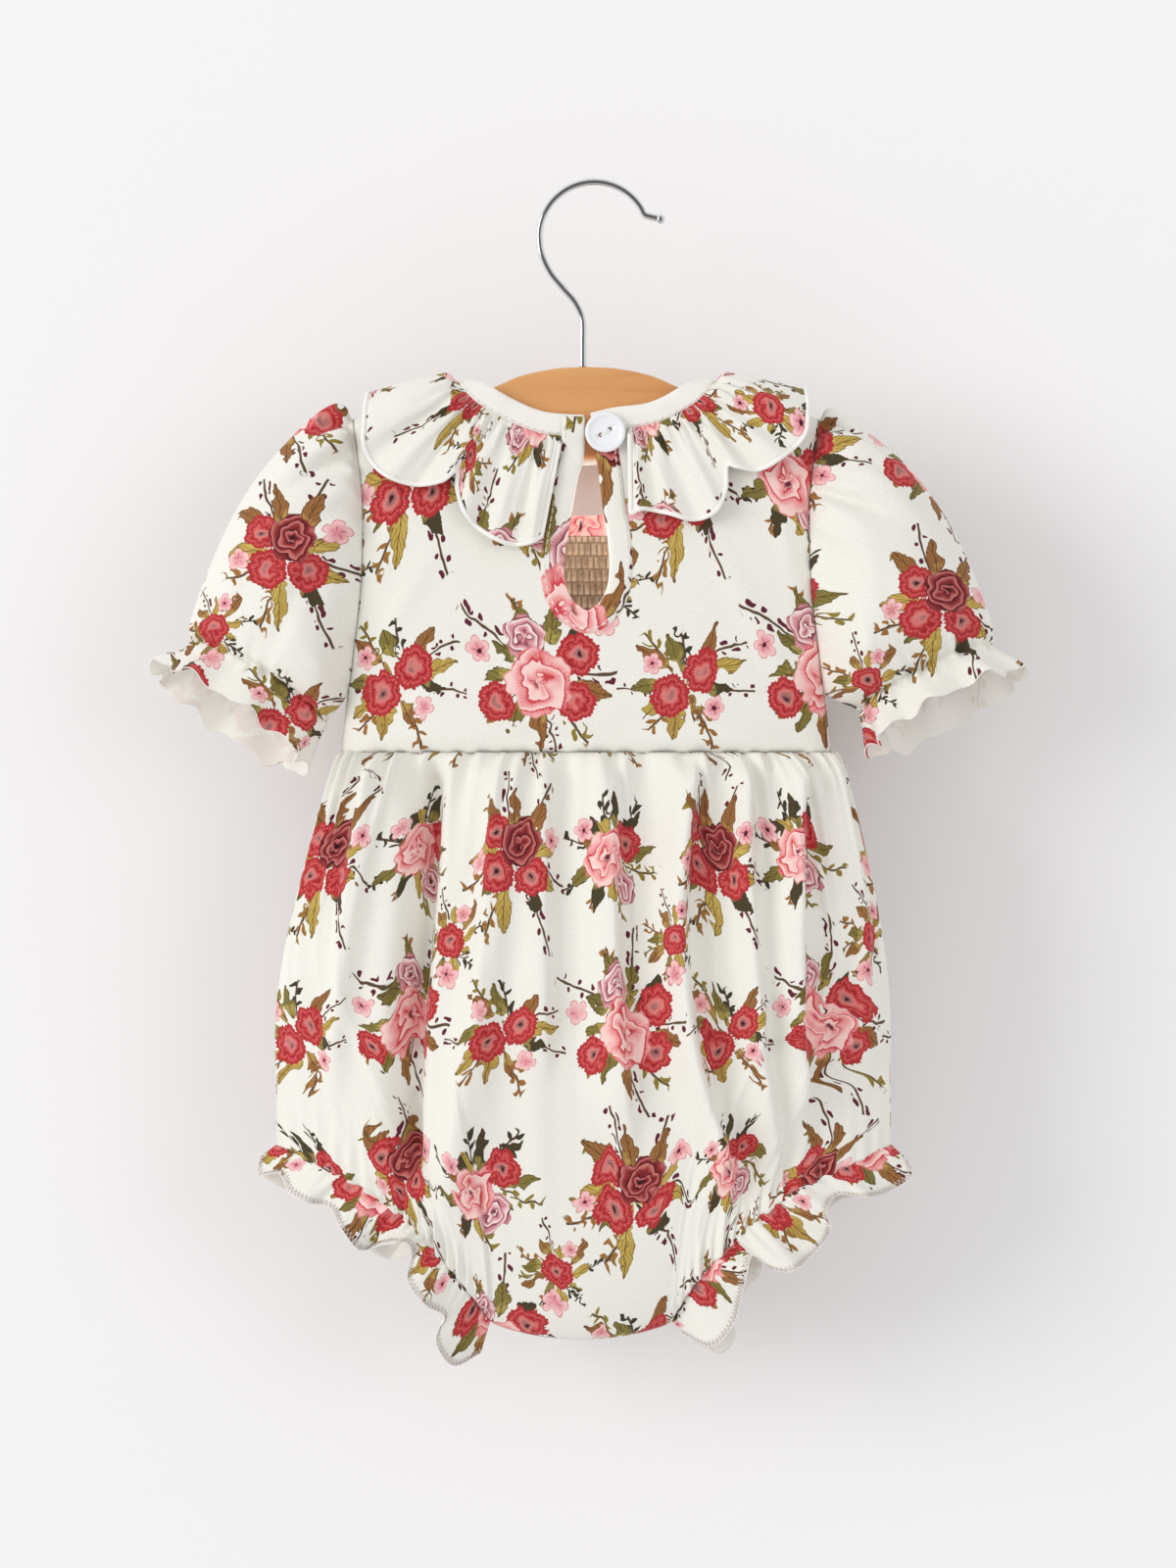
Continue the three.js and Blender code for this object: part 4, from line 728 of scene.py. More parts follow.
# %% Node helpers
class Nodes:
    def __init__(self, tree):
        self.tree = tree

    def new(self, kind, **settings):
        node = self.tree.nodes.new(kind)
        for key, value in settings.items():
            setattr(node, key, value)
        return node

    def put(self, socket, value):
        if isinstance(value, bpy.types.NodeSocket):
            self.tree.links.new(value, socket)
        else:
            socket.default_value = value

    def math(self, operation, *values):
        node = self.new("ShaderNodeMath", operation=operation)
        for socket, value in zip(node.inputs, values):
            self.put(socket, value)
        return node.outputs[0]

    def plus(self, a, b):
        return self.math("ADD", a, b)

    def minus(self, a, b):
        return self.math("SUBTRACT", a, b)

    def times(self, a, b):
        return self.math("MULTIPLY", a, b)

    def times_plus(self, a, b, c):
        return self.math("MULTIPLY_ADD", a, b, c)

    def square(self, a):
        return self.math("MULTIPLY", a, a)

    def over(self, a, b):
        return self.math("DIVIDE", a, b)

    def sine(self, a):
        return self.math("SINE", a)

    def size(self, a):
        return self.math("ABSOLUTE", a)

    def under(self, low, high, value):
        return self.minus(1.0, self.step(low, high, value))

    def vector(self, operation, *values):
        node = self.new("ShaderNodeVectorMath", operation=operation)
        for socket, value in zip(node.inputs, values):
            self.put(socket, value)
        return node.outputs["Value" if operation in ("LENGTH", "DOT_PRODUCT", "DISTANCE") else "Vector"]

    def scaled(self, vector, scale):
        node = self.new("ShaderNodeVectorMath", operation="SCALE")
        self.put(node.inputs[0], vector)
        self.put(node.inputs["Scale"], scale)
        return node.outputs["Vector"]

    def step(self, low, high, value):
        node = self.new("ShaderNodeMapRange", interpolation_type="SMOOTHSTEP")
        for socket, given in zip(node.inputs, (value, low, high, 0.0, 1.0)):
            self.put(socket, given)
        return node.outputs[0]

    def blend(self, share, a, b):
        node = self.new("ShaderNodeMix", data_type="RGBA")
        self.put(node.inputs["Factor"], share)
        self.put(node.inputs[6], a)
        self.put(node.inputs[7], b)
        return node.outputs[2]

    def choose(self, share, a, b):
        node = self.new("ShaderNodeMix", data_type="VECTOR")
        self.put(node.inputs["Factor"], share)
        self.put(node.inputs[4], a)
        self.put(node.inputs[5], b)
        return node.outputs[1]

    def split(self, vector):
        node = self.new("ShaderNodeSeparateXYZ")
        self.put(node.inputs[0], vector)
        return node.outputs[0], node.outputs[1]

    def random(self, number):
        node = self.new("ShaderNodeTexWhiteNoise", noise_dimensions="1D")
        self.put(node.inputs["W"], number)
        return node.outputs["Value"]

    def noise(self, vector, scale, detail=2.0, roughness=0.5):
        node = self.new("ShaderNodeTexNoise")
        self.put(node.inputs["Vector"], vector)
        node.inputs["Scale"].default_value = scale
        node.inputs["Detail"].default_value = detail
        node.inputs["Roughness"].default_value = roughness
        return node.outputs["Fac"]


def linear(red, green, blue):
    """A screen colour of 0 to 255 as the light values that a shader works with."""
    shares = [c / 255 / 12.92 if c <= 10 else ((c / 255 + 0.055) / 1.055) ** 2.4 for c in (red, green, blue)]
    return (*shares, 1.0)


def group(name, inputs, outputs):
    tree = bpy.data.node_groups.new(name, "ShaderNodeTree")
    for label, kind in inputs:
        tree.interface.new_socket(label, in_out="INPUT", socket_type=kind)
    for label, kind in outputs:
        tree.interface.new_socket(label, in_out="OUTPUT", socket_type=kind)
    return tree, tree.nodes.new("NodeGroupInput"), tree.nodes.new("NodeGroupOutput")


print("white in light values:", linear(255, 255, 255))


# %% [markdown]
# ## Places of the motifs
# The jersey is printed with bunches of roses, carnations and small blossoms on an off-white ground. A
# photographed cloth would bring its own light and creases with it, so the print is drawn here from
# ordinary motifs. Each has a few places in one repeat, in millimetres on the flat cloth: x, y, its
# turn in degrees and its radius. Every second row of repeats is shifted by half, so that no stripes show.

# %% Places of the motifs
REPEAT = (118.0, 136.0)
DROP = REPEAT[0] / 2 / REPEAT[1]
BUNCHES = [(34, 44, 12, 35), (92, 109, 200, 33), (92, 38, 80, 27), (26, 112, 300, 28), (61, 78, 150, 20)]
CABBAGES = [(33, 40, 20, 15.2), (23, 110, 160, 13.0)]
DARK_ROSES = [(95, 116, 210, 11.2)]
PALE_ROSES = [(27, 58, 80, 9.8), (34, 100, 10, 8.6)]
CARNATIONS = [
    (49, 52, 0, 9.6), (48, 33, 40, 9.0), (16, 32, 90, 8.4), (84, 103, 20, 9.6), (101, 102, 70, 9.0),
    (82, 119, 10, 8.2), (86, 34, 200, 9.0), (99, 42, 260, 8.6), (37, 118, 100, 8.8), (61, 78, 30, 7.4),
]
BLOSSOMS = [
    (60, 64, 10, 6.2), (8, 50, 40, 5.8), (111, 118, 80, 5.8), (72, 108, 20, 5.4), (104, 28, 60, 5.0),
    (79, 47, 0, 4.8), (11, 123, 30, 5.6), (66, 89, 15, 4.2),
]
print("bunches and flowers:", len(BUNCHES), len(CABBAGES + DARK_ROSES + PALE_ROSES + CARNATIONS + BLOSSOMS))

# %% [markdown]
# ## Coordinates of the print
# Ink on jersey has soft, slightly shaken outlines. Perfect outlines would look like a sticker, so a
# low noise moves every point a little before anything is drawn. Motifs could be stamped as separate
# planes, but then they would not follow the folds. Instead nearest() asks for each point of the cloth
# which motif is closest, and gives the point's place in that motif's own coordinates.

# %% Coordinates of the print
print_tree, given, result = group(
    "floral_print",
    [("Cloth", "NodeSocketVector")],
    [("Colour", "NodeSocketColor"), ("Ink", "NodeSocketFloat")],
)
n = Nodes(print_tree)
cloth_mm = n.scaled(given.outputs["Cloth"], 1000.0)
wobble = n.new("ShaderNodeTexNoise")
n.put(wobble.inputs["Vector"], cloth_mm)
wobble.inputs["Scale"].default_value = 0.13
wobble.inputs["Detail"].default_value = 1.0
shaken = n.scaled(n.vector("SUBTRACT", wobble.outputs["Color"], (0.5, 0.5, 0.5)), 2.2)
drawn = n.vector("ADD", cloth_mm, shaken)


def leaned(vector, lean):
    """The vector with lean times its y added to its x."""
    turned = n.vector("CROSS_PRODUCT", vector, (0.0, 0.0, lean))
    return n.vector("MULTIPLY_ADD", turned, (1.0, 0.0, 0.0), vector)


upright = leaned(drawn, DROP)


def nearest(places, stretch=1.0):
    """Local coordinates, distance and number of the nearest motif."""
    here, least, which = None, None, None
    wide, tall = REPEAT[0] / 2, REPEAT[1] / 2
    for number, (x, y, turn, radius) in enumerate(places):
        middle = x + DROP * y
        near = n.vector("WRAP", upright, (middle + wide, y + tall, 1.0), (middle - wide, y - tall, -1.0))
        away = leaned(n.vector("SUBTRACT", near, (middle, y, 0.0)), -DROP)
        local = n.new("ShaderNodeMapping", vector_type="TEXTURE")
        n.put(local.inputs["Vector"], away)
        local.inputs["Rotation"].default_value = (0, 0, math.radians(turn))
        local.inputs["Scale"].default_value = (radius, radius * stretch, 1)
        far = n.vector("LENGTH", local.outputs[0])
        if here is None:
            here, least, which = local.outputs[0], far, n.times(far, 0.0)
            continue
        nearer = n.math("LESS_THAN", far, least)
        here = n.choose(nearer, here, local.outputs[0])
        kept = n.times(which, n.minus(1.0, nearer))
        which = n.times_plus(nearer, number * 7.31, kept)
        least = n.math("MINIMUM", least, far)
    return here, least, which


def polar(here):
    """The angle round the middle of a motif."""
    x, y = n.split(here)
    return n.math("ARCTAN2", y, x)


def sectors(angle, count, which, seed):
    """The angle inside one of several sectors, bent by chance, and two chance numbers for it."""
    turns = n.times(angle, count / TAU)
    number = n.math("ROUND", turns)
    name = n.plus(n.plus(number, which), seed)
    first, second = n.random(name), n.random(n.plus(name, 51.7))
    local = n.times(n.minus(turns, number), TAU / count)
    bend = n.times(n.minus(first, 0.5), 0.5 * TAU / count)
    return n.plus(local, bend), first, second


def layer(colour, ink, mask, paint):
    return n.blend(mask, colour, paint), n.math("MAXIMUM", ink, mask)


# %% [markdown]
# ## Ground
# Off-white jersey is never quite even. One flat colour would look like paper, so a fine noise mixes
# two near tones. From here on each motif is a layer: a mask, a tone, and the ink that shows through
# on the wrong side of the cloth.

# %% Ground
mottle = n.noise(cloth_mm, 0.9, 3.0, 0.7)
colour = n.blend(n.step(0.3, 0.75, mottle), linear(243, 242, 235), linear(237, 235, 227))
ink = n.times(mottle, 0.0)

print("nodes so far:", len(print_tree.nodes))

# %% [markdown]
# ## Sprigs and berries
# Thin stems with small leaves or berries stand out from each bunch. Each could be a row of its own in
# a table, but they only fill the gaps. So the space round a bunch is cut into seven sectors with one
# bent stem each, and leaflets sit on it in pairs. Chance picks their tone, or berries in their place.

# %% Sprigs and berries
bunch, reach, which = nearest(BUNCHES, 1.2)
angle = polar(bunch)
local, first, second = sectors(angle, 7, which, 3.0)
along = n.times(reach, n.math("COSINE", local))
sweep = n.times(n.sine(n.times_plus(along, 4.0, n.times(first, 6.0))), 0.045)
across = n.plus(n.times(reach, n.sine(local)), sweep)
tip = n.times_plus(second, 0.36, 0.76)
on_stem = n.times(n.step(0.35, 0.4, along), n.minus(1.0, n.step(0.0, 0.03, n.minus(along, tip))))
beads = n.times_plus(n.math("SIGN", across), 0.25, n.times(along, 5.2))
step_along = n.over(n.minus(beads, n.math("ROUND", beads)), 5.2)
aside = n.size(across)
leaf_x = n.minus(n.times(n.plus(step_along, aside), 0.707), 0.072)
leaf_y = n.times(n.minus(step_along, aside), 0.707)
leaf_far = n.plus(n.square(n.over(leaf_x, 0.07)), n.square(n.over(leaf_y, 0.032)))
leaflets = n.times(n.under(0.8, 1.15, leaf_far), on_stem)
stems = n.times(n.under(0.01, 0.02, aside), on_stem)
sprig_tone = n.blend(n.step(0.33, 0.37, first), linear(62, 60, 46), linear(168, 116, 62))
sprig_tone = n.blend(n.step(0.66, 0.70, first), sprig_tone, linear(150, 132, 58))
sprig_tone = n.blend(n.times(n.under(0.0, 0.007, n.size(leaf_y)), 0.6), sprig_tone, linear(52, 40, 30))
berry_far = n.plus(n.square(step_along), n.square(n.minus(aside, 0.062)))
berries = n.times(n.under(0.0007, 0.0011, berry_far), on_stem)
berried = n.math("GREATER_THAN", second, 0.64)
colour, ink = layer(colour, ink, stems, linear(92, 70, 52))
colour, ink = layer(colour, ink, n.times(leaflets, n.minus(1.0, berried)), sprig_tone)
colour, ink = layer(colour, ink, n.times(berries, berried), linear(98, 34, 50))

print("nodes so far:", len(print_tree.nodes))

# %% [markdown]
# ## Larger leaves
# Broad leaves with veins lie half under the flowers. They are made like the sprigs, in nine sectors,
# but each sector holds one leaf. Its half width is a sine along its length, and its rim is slightly
# toothed. A dark rib, fine veins and a lighter middle give it the look of a drawn leaf.

# %% Larger leaves
local, first, second = sectors(n.plus(angle, 0.35), 9, which, 19.0)
along = n.times(reach, n.math("COSINE", local))
across = n.times_plus(n.sine(n.times(along, 5.0)), 0.03, n.times(reach, n.sine(local)))
end = n.times_plus(second, 0.26, 0.62)
share = n.over(n.minus(along, 0.3), n.minus(end, 0.3))
inside = n.times(n.math("GREATER_THAN", share, 0.0), n.math("LESS_THAN", share, 1.0))
wide = n.times(n.sine(n.times(n.math("POWER", n.math("MAXIMUM", share, 0.0), 0.8), math.pi)), 0.115)
aside = n.size(across)
rim = n.minus(aside, n.times_plus(n.sine(n.times(share, 55.0)), 0.004, wide))
leaf = n.times(inside, n.under(-0.006, 0.004, rim))
veins = n.step(0.5, 0.95, n.sine(n.minus(n.times(share, 36.0), n.times(aside, 130.0))))
leaf_tone = n.blend(n.step(0.22, 0.26, first), linear(72, 66, 46), linear(134, 122, 62))
leaf_tone = n.blend(n.step(0.44, 0.48, first), leaf_tone, linear(196, 166, 84))
leaf_tone = n.blend(n.step(0.74, 0.78, first), leaf_tone, linear(158, 108, 62))
leaf_tone = n.blend(n.times(n.step(0.2, 0.9, n.sine(n.times(share, 7.0))), 0.4), leaf_tone, linear(226, 200, 110))
leaf_tone = n.blend(n.times(veins, 0.5), leaf_tone, linear(66, 46, 28))
leaf_tone = n.blend(n.times(n.under(0.002, 0.012, aside), 0.8), leaf_tone, linear(84, 60, 34))
leaf_tone = n.blend(n.times(n.step(-0.022, -0.006, rim), 0.6), leaf_tone, linear(74, 50, 30))
colour, ink = layer(colour, ink, leaf, leaf_tone)

print("nodes so far:", len(print_tree.nodes))

# %% [markdown]
# ## Small blossoms
# Small pink blossoms have five round petals. Five ellipses could be joined, but one cosine of the
# angle already rises and falls five times in a turn. It shapes the edge, and draws the dark line
# between two petals.

# %% Small blossoms
here, far, which = nearest(BLOSSOMS)
angle = polar(here)
petal = n.size(n.math("COSINE", n.times(angle, 2.5)))
edge = n.minus(far, n.times_plus(n.math("POWER", petal, 0.45), 0.44, 0.5))
tone = n.blend(n.step(0.15, 0.9, far), linear(232, 150, 158), linear(250, 208, 208))
tone = n.blend(n.times(n.step(0.94, 1.0, petal), n.under(0.25, 0.62, far)), tone, linear(170, 60, 84))
tone = n.blend(n.under(0.13, 0.22, far), tone, linear(70, 28, 44))
tone = n.blend(n.times(n.step(-0.13, -0.05, edge), 0.8), tone, linear(206, 104, 114))
colour, ink = layer(colour, ink, n.under(-0.06, 0.02, edge), tone)

print("nodes so far:", len(print_tree.nodes))

# %% [markdown]
# ## Carnations
# A carnation has a dark heart, pale streaks round it and red petals with a toothed edge. Many thin
# petals would take many nodes. Here waves of the angle do it: a slow one for the lobes, a fast one for
# the teeth and a fine one for the streaks, and rings at set distances lay the tones over each other.

# %% Carnations
here, far, which = nearest(CARNATIONS)
angle = n.plus(polar(here), which)
lobes = n.size(n.sine(n.times(angle, 3.5)))
teeth = n.sine(n.times(angle, 27.0))
streak = n.sine(n.times_plus(n.sine(n.times(angle, 5.0)), 2.0, n.times(angle, 39.0)))
edge = n.minus(far, n.times_plus(n.math("POWER", lobes, 0.5), 0.14, 0.82))
edge = n.times_plus(teeth, 0.028, edge)
deep = n.times_plus(streak, 0.1, far)
tone = n.blend(n.step(0.2, 0.46, deep), linear(244, 176, 168), linear(200, 66, 68))
tone = n.blend(n.step(0.5, 1.0, deep), tone, linear(176, 46, 52))
ring = n.size(n.minus(n.times_plus(lobes, -0.16, far), 0.44))
tone = n.blend(n.times(n.under(0.02, 0.07, ring), 0.75), tone, linear(150, 24, 38))
glow = n.size(n.minus(n.times_plus(lobes, -0.14, far), 0.6))
tone = n.blend(n.times(n.under(0.0, 0.08, glow), n.times(n.step(0.0, 0.8, streak), 0.7)), tone, linear(240, 146, 138))
tone = n.blend(n.times(n.under(0.0, 0.28, lobes), n.times(n.step(0.5, 0.7, far), 0.6)), tone, linear(128, 20, 36))
tone = n.blend(n.under(0.17, 0.27, deep), tone, linear(66, 20, 34))
colour, ink = layer(colour, ink, n.under(-0.03, 0.02, edge), tone)

print("nodes so far:", len(print_tree.nodes))

# %% [markdown]
# ## Roses
# A rose is wound from its heart outwards, and each petal overlaps the next. Drawing every petal would
# fix one flower only. A spiral of angle and distance gives the petals of all three kinds: its root is
# a stroke of dark ink with fine hatching, and its rim is pale. The kinds differ in how tight the
# spiral is, how ruffled the petals are, and in their four tones.

# %% Roses
PETALS = 5
ROSES = [
    (DARK_ROSES, 3.6, 0.8, [(62, 20, 26), (142, 42, 46), (204, 118, 114), (48, 18, 24)]),
    (PALE_ROSES, 3.4, 0.9, [(120, 40, 62), (222, 150, 158), (250, 228, 226), (84, 30, 48)]),
    (CABBAGES, 2.7, 1.0, [(208, 62, 74), (244, 168, 168), (252, 216, 210), (96, 34, 50)]),
]


def rose(places, turns, ruffle, stroke, middle, light, heart):
    """The mask and the tone of the roses at these places."""
    here, far, which = nearest(places)
    angle = n.plus(polar(here), which)
    shake = n.times(n.sine(n.times(angle, float(PETALS))), 0.06)
    ragged = n.times_plus(n.sine(n.times(angle, PETALS * 3.0)), ruffle * 0.03, shake)
    edge = n.minus(far, n.plus(ragged, 0.9))
    winding = n.sine(n.times_plus(angle, 3.0, n.times(far, 9.0)))
    bent = n.times_plus(far, turns, n.times(winding, ruffle * 0.22))
    bent = n.plus(bent, n.over(angle, TAU))
    arcs = n.size(n.sine(n.times(angle, PETALS * 0.5)))
    ply = n.math("FRACT", n.times_plus(arcs, 0.34 * ruffle, bent))
    hatch = n.sine(n.times_plus(far, 14.0, n.times(angle, 46.0)))
    tone = n.blend(n.step(0.04, 0.3, n.times_plus(hatch, 0.07, ply)), stroke, middle)
    tone = n.blend(n.step(0.35, 0.95, ply), tone, light)
    tone = n.blend(n.times(n.times(n.step(0.5, 1.0, hatch), n.under(0.3, 0.75, ply)), 0.55), tone, stroke)
    tone = n.blend(n.times(n.step(-0.07, -0.02, edge), 0.55), tone, stroke)
    tone = n.blend(n.under(0.07, 0.2, far), tone, heart)
    return n.under(-0.03, 0.02, edge), tone


for places, turns, ruffle, tones in ROSES:
    mask, tone = rose(places, turns, ruffle, *(linear(*tone) for tone in tones))
    colour, ink = layer(colour, ink, mask, tone)
n.put(result.inputs["Colour"], colour)
n.put(result.inputs["Ink"], ink)
print("print nodes:", len(print_tree.nodes))

# %% [markdown]
# ## Knit
# Jersey is a fine knit of small loops, in ribs that run up the cloth. Modelled loops would need
# millions of faces, and at this distance they are only a soft grain. Two crossed waves and a little
# fuzz give a height, which each cloth finish uses as a bump.

# %% Knit group
knit_tree, given, result = group("jersey_knit", [("Cloth", "NodeSocketVector")], [("Height", "NodeSocketFloat")])
n = Nodes(knit_tree)
loops = n.scaled(given.outputs["Cloth"], 1000.0)
x, y = n.split(loops)
rib = n.sine(n.times(x, 7.6))
stitch = n.sine(n.plus(n.times(y, 9.4), n.times(n.size(rib), 1.6)))
fuzz = n.noise(loops, 1.7, 3.0, 0.6)
n.put(result.inputs["Height"], n.plus(n.times(n.plus(rib, stitch), 0.12), fuzz))
print("knit nodes:", len(knit_tree.nodes))

# %% [markdown]
# ## Cloth finishes
# Cotton jersey is matt, with a faint sheen from its fibres. All cloth pieces could have a material
# each, but they share one yarn. So jersey() builds the knit, the roughness and the sheen once, and a
# small function sets the tone: the print, its pale wrong side, a plain white, the inside of the yoke in
# a painted shade, or the smocked tucks with painted shade between them.

# %% Cloth finishes
SMOCK = {"row": 5.4, "tuck": 2.5, "lean": 0.7, "drawn": 1.3}
YOKE_MAP = (0.208, 0.172)
YOKE_HEM = YOKE_MAP[1] + 0.0085


def material(name):
    made = bpy.data.materials.new(name)
    made.use_nodes = True
    made.node_tree.nodes.clear()
    nodes = Nodes(made.node_tree)
    output = nodes.new("ShaderNodeOutputMaterial")
    surface = nodes.new("ShaderNodeBsdfPrincipled")
    made.node_tree.links.new(surface.outputs[0], output.inputs["Surface"])
    return made, nodes, surface


def jersey(name, tone):
    made, nodes, surface = material(name)
    cloth = nodes.new("ShaderNodeUVMap", uv_map="cloth")
    tone(nodes, surface, cloth.outputs["UV"])
    knit = nodes.new("ShaderNodeGroup", node_tree=knit_tree)
    nodes.put(knit.inputs["Cloth"], cloth.outputs["UV"])
    bump = nodes.new("ShaderNodeBump")
    bump.inputs["Strength"].default_value = 0.16
    bump.inputs["Distance"].default_value = 0.0004
    nodes.put(bump.inputs["Height"], knit.outputs["Height"])
    nodes.put(surface.inputs["Normal"], bump.outputs["Normal"])
    surface.inputs["Roughness"].default_value = 0.88
    surface.inputs["Specular IOR Level"].default_value = 0.22
    surface.inputs["Sheen Weight"].default_value = 0.14
    surface.inputs["Sheen Roughness"].default_value = 0.45
    return made


def printed(nodes, surface, cloth):
    flowers = nodes.new("ShaderNodeGroup", node_tree=print_tree)
    nodes.put(flowers.inputs["Cloth"], cloth)
    nodes.put(surface.inputs["Base Color"], flowers.outputs["Colour"])


def wrong_side(nodes, surface, cloth):
    flowers = nodes.new("ShaderNodeGroup", node_tree=print_tree)
    nodes.put(flowers.inputs["Cloth"], cloth)
    showing = nodes.times(flowers.outputs["Ink"], 0.17)
    pale = nodes.blend(showing, linear(243, 240, 233), linear(214, 160, 156))
    nodes.put(surface.inputs["Base Color"], pale)


def plain(*rgb):
    def tone(nodes, surface, cloth):
        surface.inputs["Base Color"].default_value = linear(*rgb)

    return tone


def yoke_inside_shaded(nodes, surface, cloth):
    flowers = nodes.new("ShaderNodeGroup", node_tree=print_tree)
    nodes.put(flowers.inputs["Cloth"], cloth)
    height = nodes.split(cloth)[1]
    above = nodes.step(YOKE_HEM - 0.0002, YOKE_HEM + 0.0002, height)
    # Painted shade: above the printed hem the inside of the yoke is a darker mauve, standing for the shade inside the
    # garment, with a pink tint for the print showing through.
    nodes.put(surface.inputs["Base Color"], nodes.blend(above, flowers.outputs["Colour"], linear(198, 186, 184)))


def tucks_with_painted_shade(nodes, surface, cloth):
    x, z = nodes.split(nodes.vector("MULTIPLY", cloth, (1000 / SMOCK["drawn"], 1000.0, 0.0)))
    row = nodes.math("FLOOR", nodes.over(z, SMOCK["row"]))
    lean = nodes.times(nodes.sine(nodes.times(row, 2.4)), SMOCK["lean"])
    turn = nodes.times(nodes.plus(x, lean), math.pi / SMOCK["tuck"])
    tuck = nodes.step(0.0, 0.7, nodes.size(nodes.math("COSINE", turn)))
    row_turn = nodes.times(z, math.pi / SMOCK["row"])
    rib = nodes.step(0.0, 0.4, nodes.size(nodes.sine(row_turn)))
    uneven = nodes.step(0.2, 0.75, nodes.noise(cloth, 420.0))
    # Painted shade and light: the tan is darker between the tucks and along the rows, and lighter on the raised tops.
    raised = nodes.times(nodes.times(tuck, rib), nodes.times_plus(uneven, 0.45, 0.6))
    nodes.put(surface.inputs["Base Color"], nodes.blend(raised, linear(146, 122, 100), linear(216, 194, 168)))


# %% Cloth materials
printed_jersey = jersey("printed_jersey", printed)
wrong_jersey = jersey("printed_jersey_wrong_side", wrong_side)
yoke_wrong_shaded = jersey("yoke_wrong_side_shaded", yoke_inside_shaded)
white_jersey = jersey("white_jersey", plain(244, 242, 236))
smocked_jersey = jersey("smocked_jersey", tucks_with_painted_shade)
thread = jersey("white_thread", plain(248, 247, 243))
overlock_thread = jersey("overlock_thread", plain(248, 240, 237))
PRINTED = [printed_jersey, wrong_jersey]
print("cloth materials:", len(bpy.data.materials))

# %% [markdown]
# ## Plastic, chrome and wood
# The button is smooth white plastic, the hook is polished wire, and the hanger is varnished wood. A
# bright wire mirrors its surroundings, which a bare studio lacks, so a painted dark reflection is laid
# in its colour where it faces the viewer, and its rim stays bright. The grain could come from a
# picture, but stretched noise has no seams and needs no file.

# %% Plastic, chrome and wood
button_plastic, nodes, surface = material("button_plastic")
surface.inputs["Base Color"].default_value = linear(244, 246, 250)
surface.inputs["Roughness"].default_value = 0.22
surface.inputs["Coat Weight"].default_value = 0.3

hook_chrome, nodes, surface = material("hook_chrome")
facing = nodes.new("ShaderNodeLayerWeight").outputs["Facing"]
# Painted dark reflection: the wire's colour is dark where it faces the viewer and bright towards its rim.
dark_reflection = nodes.step(0.01, 0.2, facing)
nodes.put(surface.inputs["Base Color"], nodes.blend(dark_reflection, (0.15, 0.15, 0.16, 1), (0.84, 0.85, 0.86, 1)))
surface.inputs["Metallic"].default_value = 1
surface.inputs["Roughness"].default_value = 0.12

hanger_wood, nodes, surface = material("hanger_wood")
where = nodes.new("ShaderNodeTexCoord").outputs["Object"]
stretched = nodes.vector("MULTIPLY", where, (26.0, 260.0, 210.0))
grain = nodes.noise(stretched, 1.0, 6.0, 0.62)
broad = nodes.noise(nodes.vector("MULTIPLY", where, (5.0, 40.0, 46.0)), 1.0, 2.0)
wood = nodes.blend(nodes.step(0.3, 0.75, broad), linear(214, 150, 88), linear(228, 168, 106))
wood = nodes.blend(nodes.times(nodes.step(0.46, 0.74, grain), 0.4), wood, linear(186, 116, 60))
nodes.put(surface.inputs["Base Color"], wood)
surface.inputs["Roughness"].default_value = 0.38
surface.inputs["Coat Weight"].default_value = 0.25
surface.inputs["Coat Roughness"].default_value = 0.2
print("materials:", len(bpy.data.materials))

# %% [markdown]
# ## Bodice sheets
# The back bodice and the front yoke are cut flat and sewn at the shoulders. The slit could be cut with
# a Boolean, but that leaves ragged faces on a thin sheet. Here the faces that lie inside the slit are
# dropped from the grid, and the binding sewn over it hides their edge. The yoke has a wrong side of
# its own, darkened with painted shade, since it shows through the keyhole.

# %% Bodice sheets
made = {}


def bodice_sheet(name, side, cols, rows, top_length, bottom_z, materials, shift, drop=None):
    u = np.linspace(-1, 1, cols)
    top_x = SHOULDER_TIP * np.sign(u) * np.abs(u) ** 1.02 * (1 if side == BACK else -1)
    v = np.linspace(0, 1, rows) ** 1.25
    start = top_length(top_x)
    end = length_of(ridge(top_x) - bottom_z)
    length = mix(start[None, :], end[None, :], v[:, None])
    z = ridge(top_x)[None, :] - fall_of(length)
    x = (top_x / SHOULDER_TIP)[None, :] * read(BODICE, "z", "half", z)
    turned = np.sin(np.minimum(length / SHOULDER_ROUND, math.pi / 2))
    extra = bodice_creases(x, z, side) - 1.2 * bell(z, 1.5) * smooth(96, 86, np.abs(x))
    y = side * np.maximum((bodice_depth(x, z) + extra) * turned, 0.02)
    points = xyz(x, y, z)
    cloth = flat_cloth(points, cols // 2, rows - 1) + np.array(shift)
    return sheet(name, points, cloth, materials, 1.0, drop=drop)


def neck_length(side):
    def length(x):
        fall = np.maximum(ridge(x) - neck_height(x, side) - 1.2, 0)
        return np.where(np.abs(x) >= NECK["half"] - 0.01, 0, length_of(fall))

    return length


def in_keyhole(centre):
    x, _, z = centre
    if z < KEYHOLE["foot_z"] - 1:
        return False
    half = float(read(KEYHOLE_LINE, "z", "half", z)) * min(1.0, math.sqrt(max(z - KEYHOLE["foot_z"] + 1, 0) / 6))
    return abs(x - float(read(KEYHOLE_LINE, "z", "centre", z))) < half - 0.4


made["back_bodice"] = bodice_sheet(
    "back_bodice_cloth", BACK, 161, 124, neck_length(BACK), 0, PRINTED, (0.052, 0.012), drop=in_keyhole
)
made["front_yoke"] = bodice_sheet(
    "front_yoke_cloth", FRONT, 121, 48, neck_length(FRONT), YOKE_BOTTOM, [printed_jersey, yoke_wrong_shaded], YOKE_MAP
)
print("bodice sheets:", len(made))
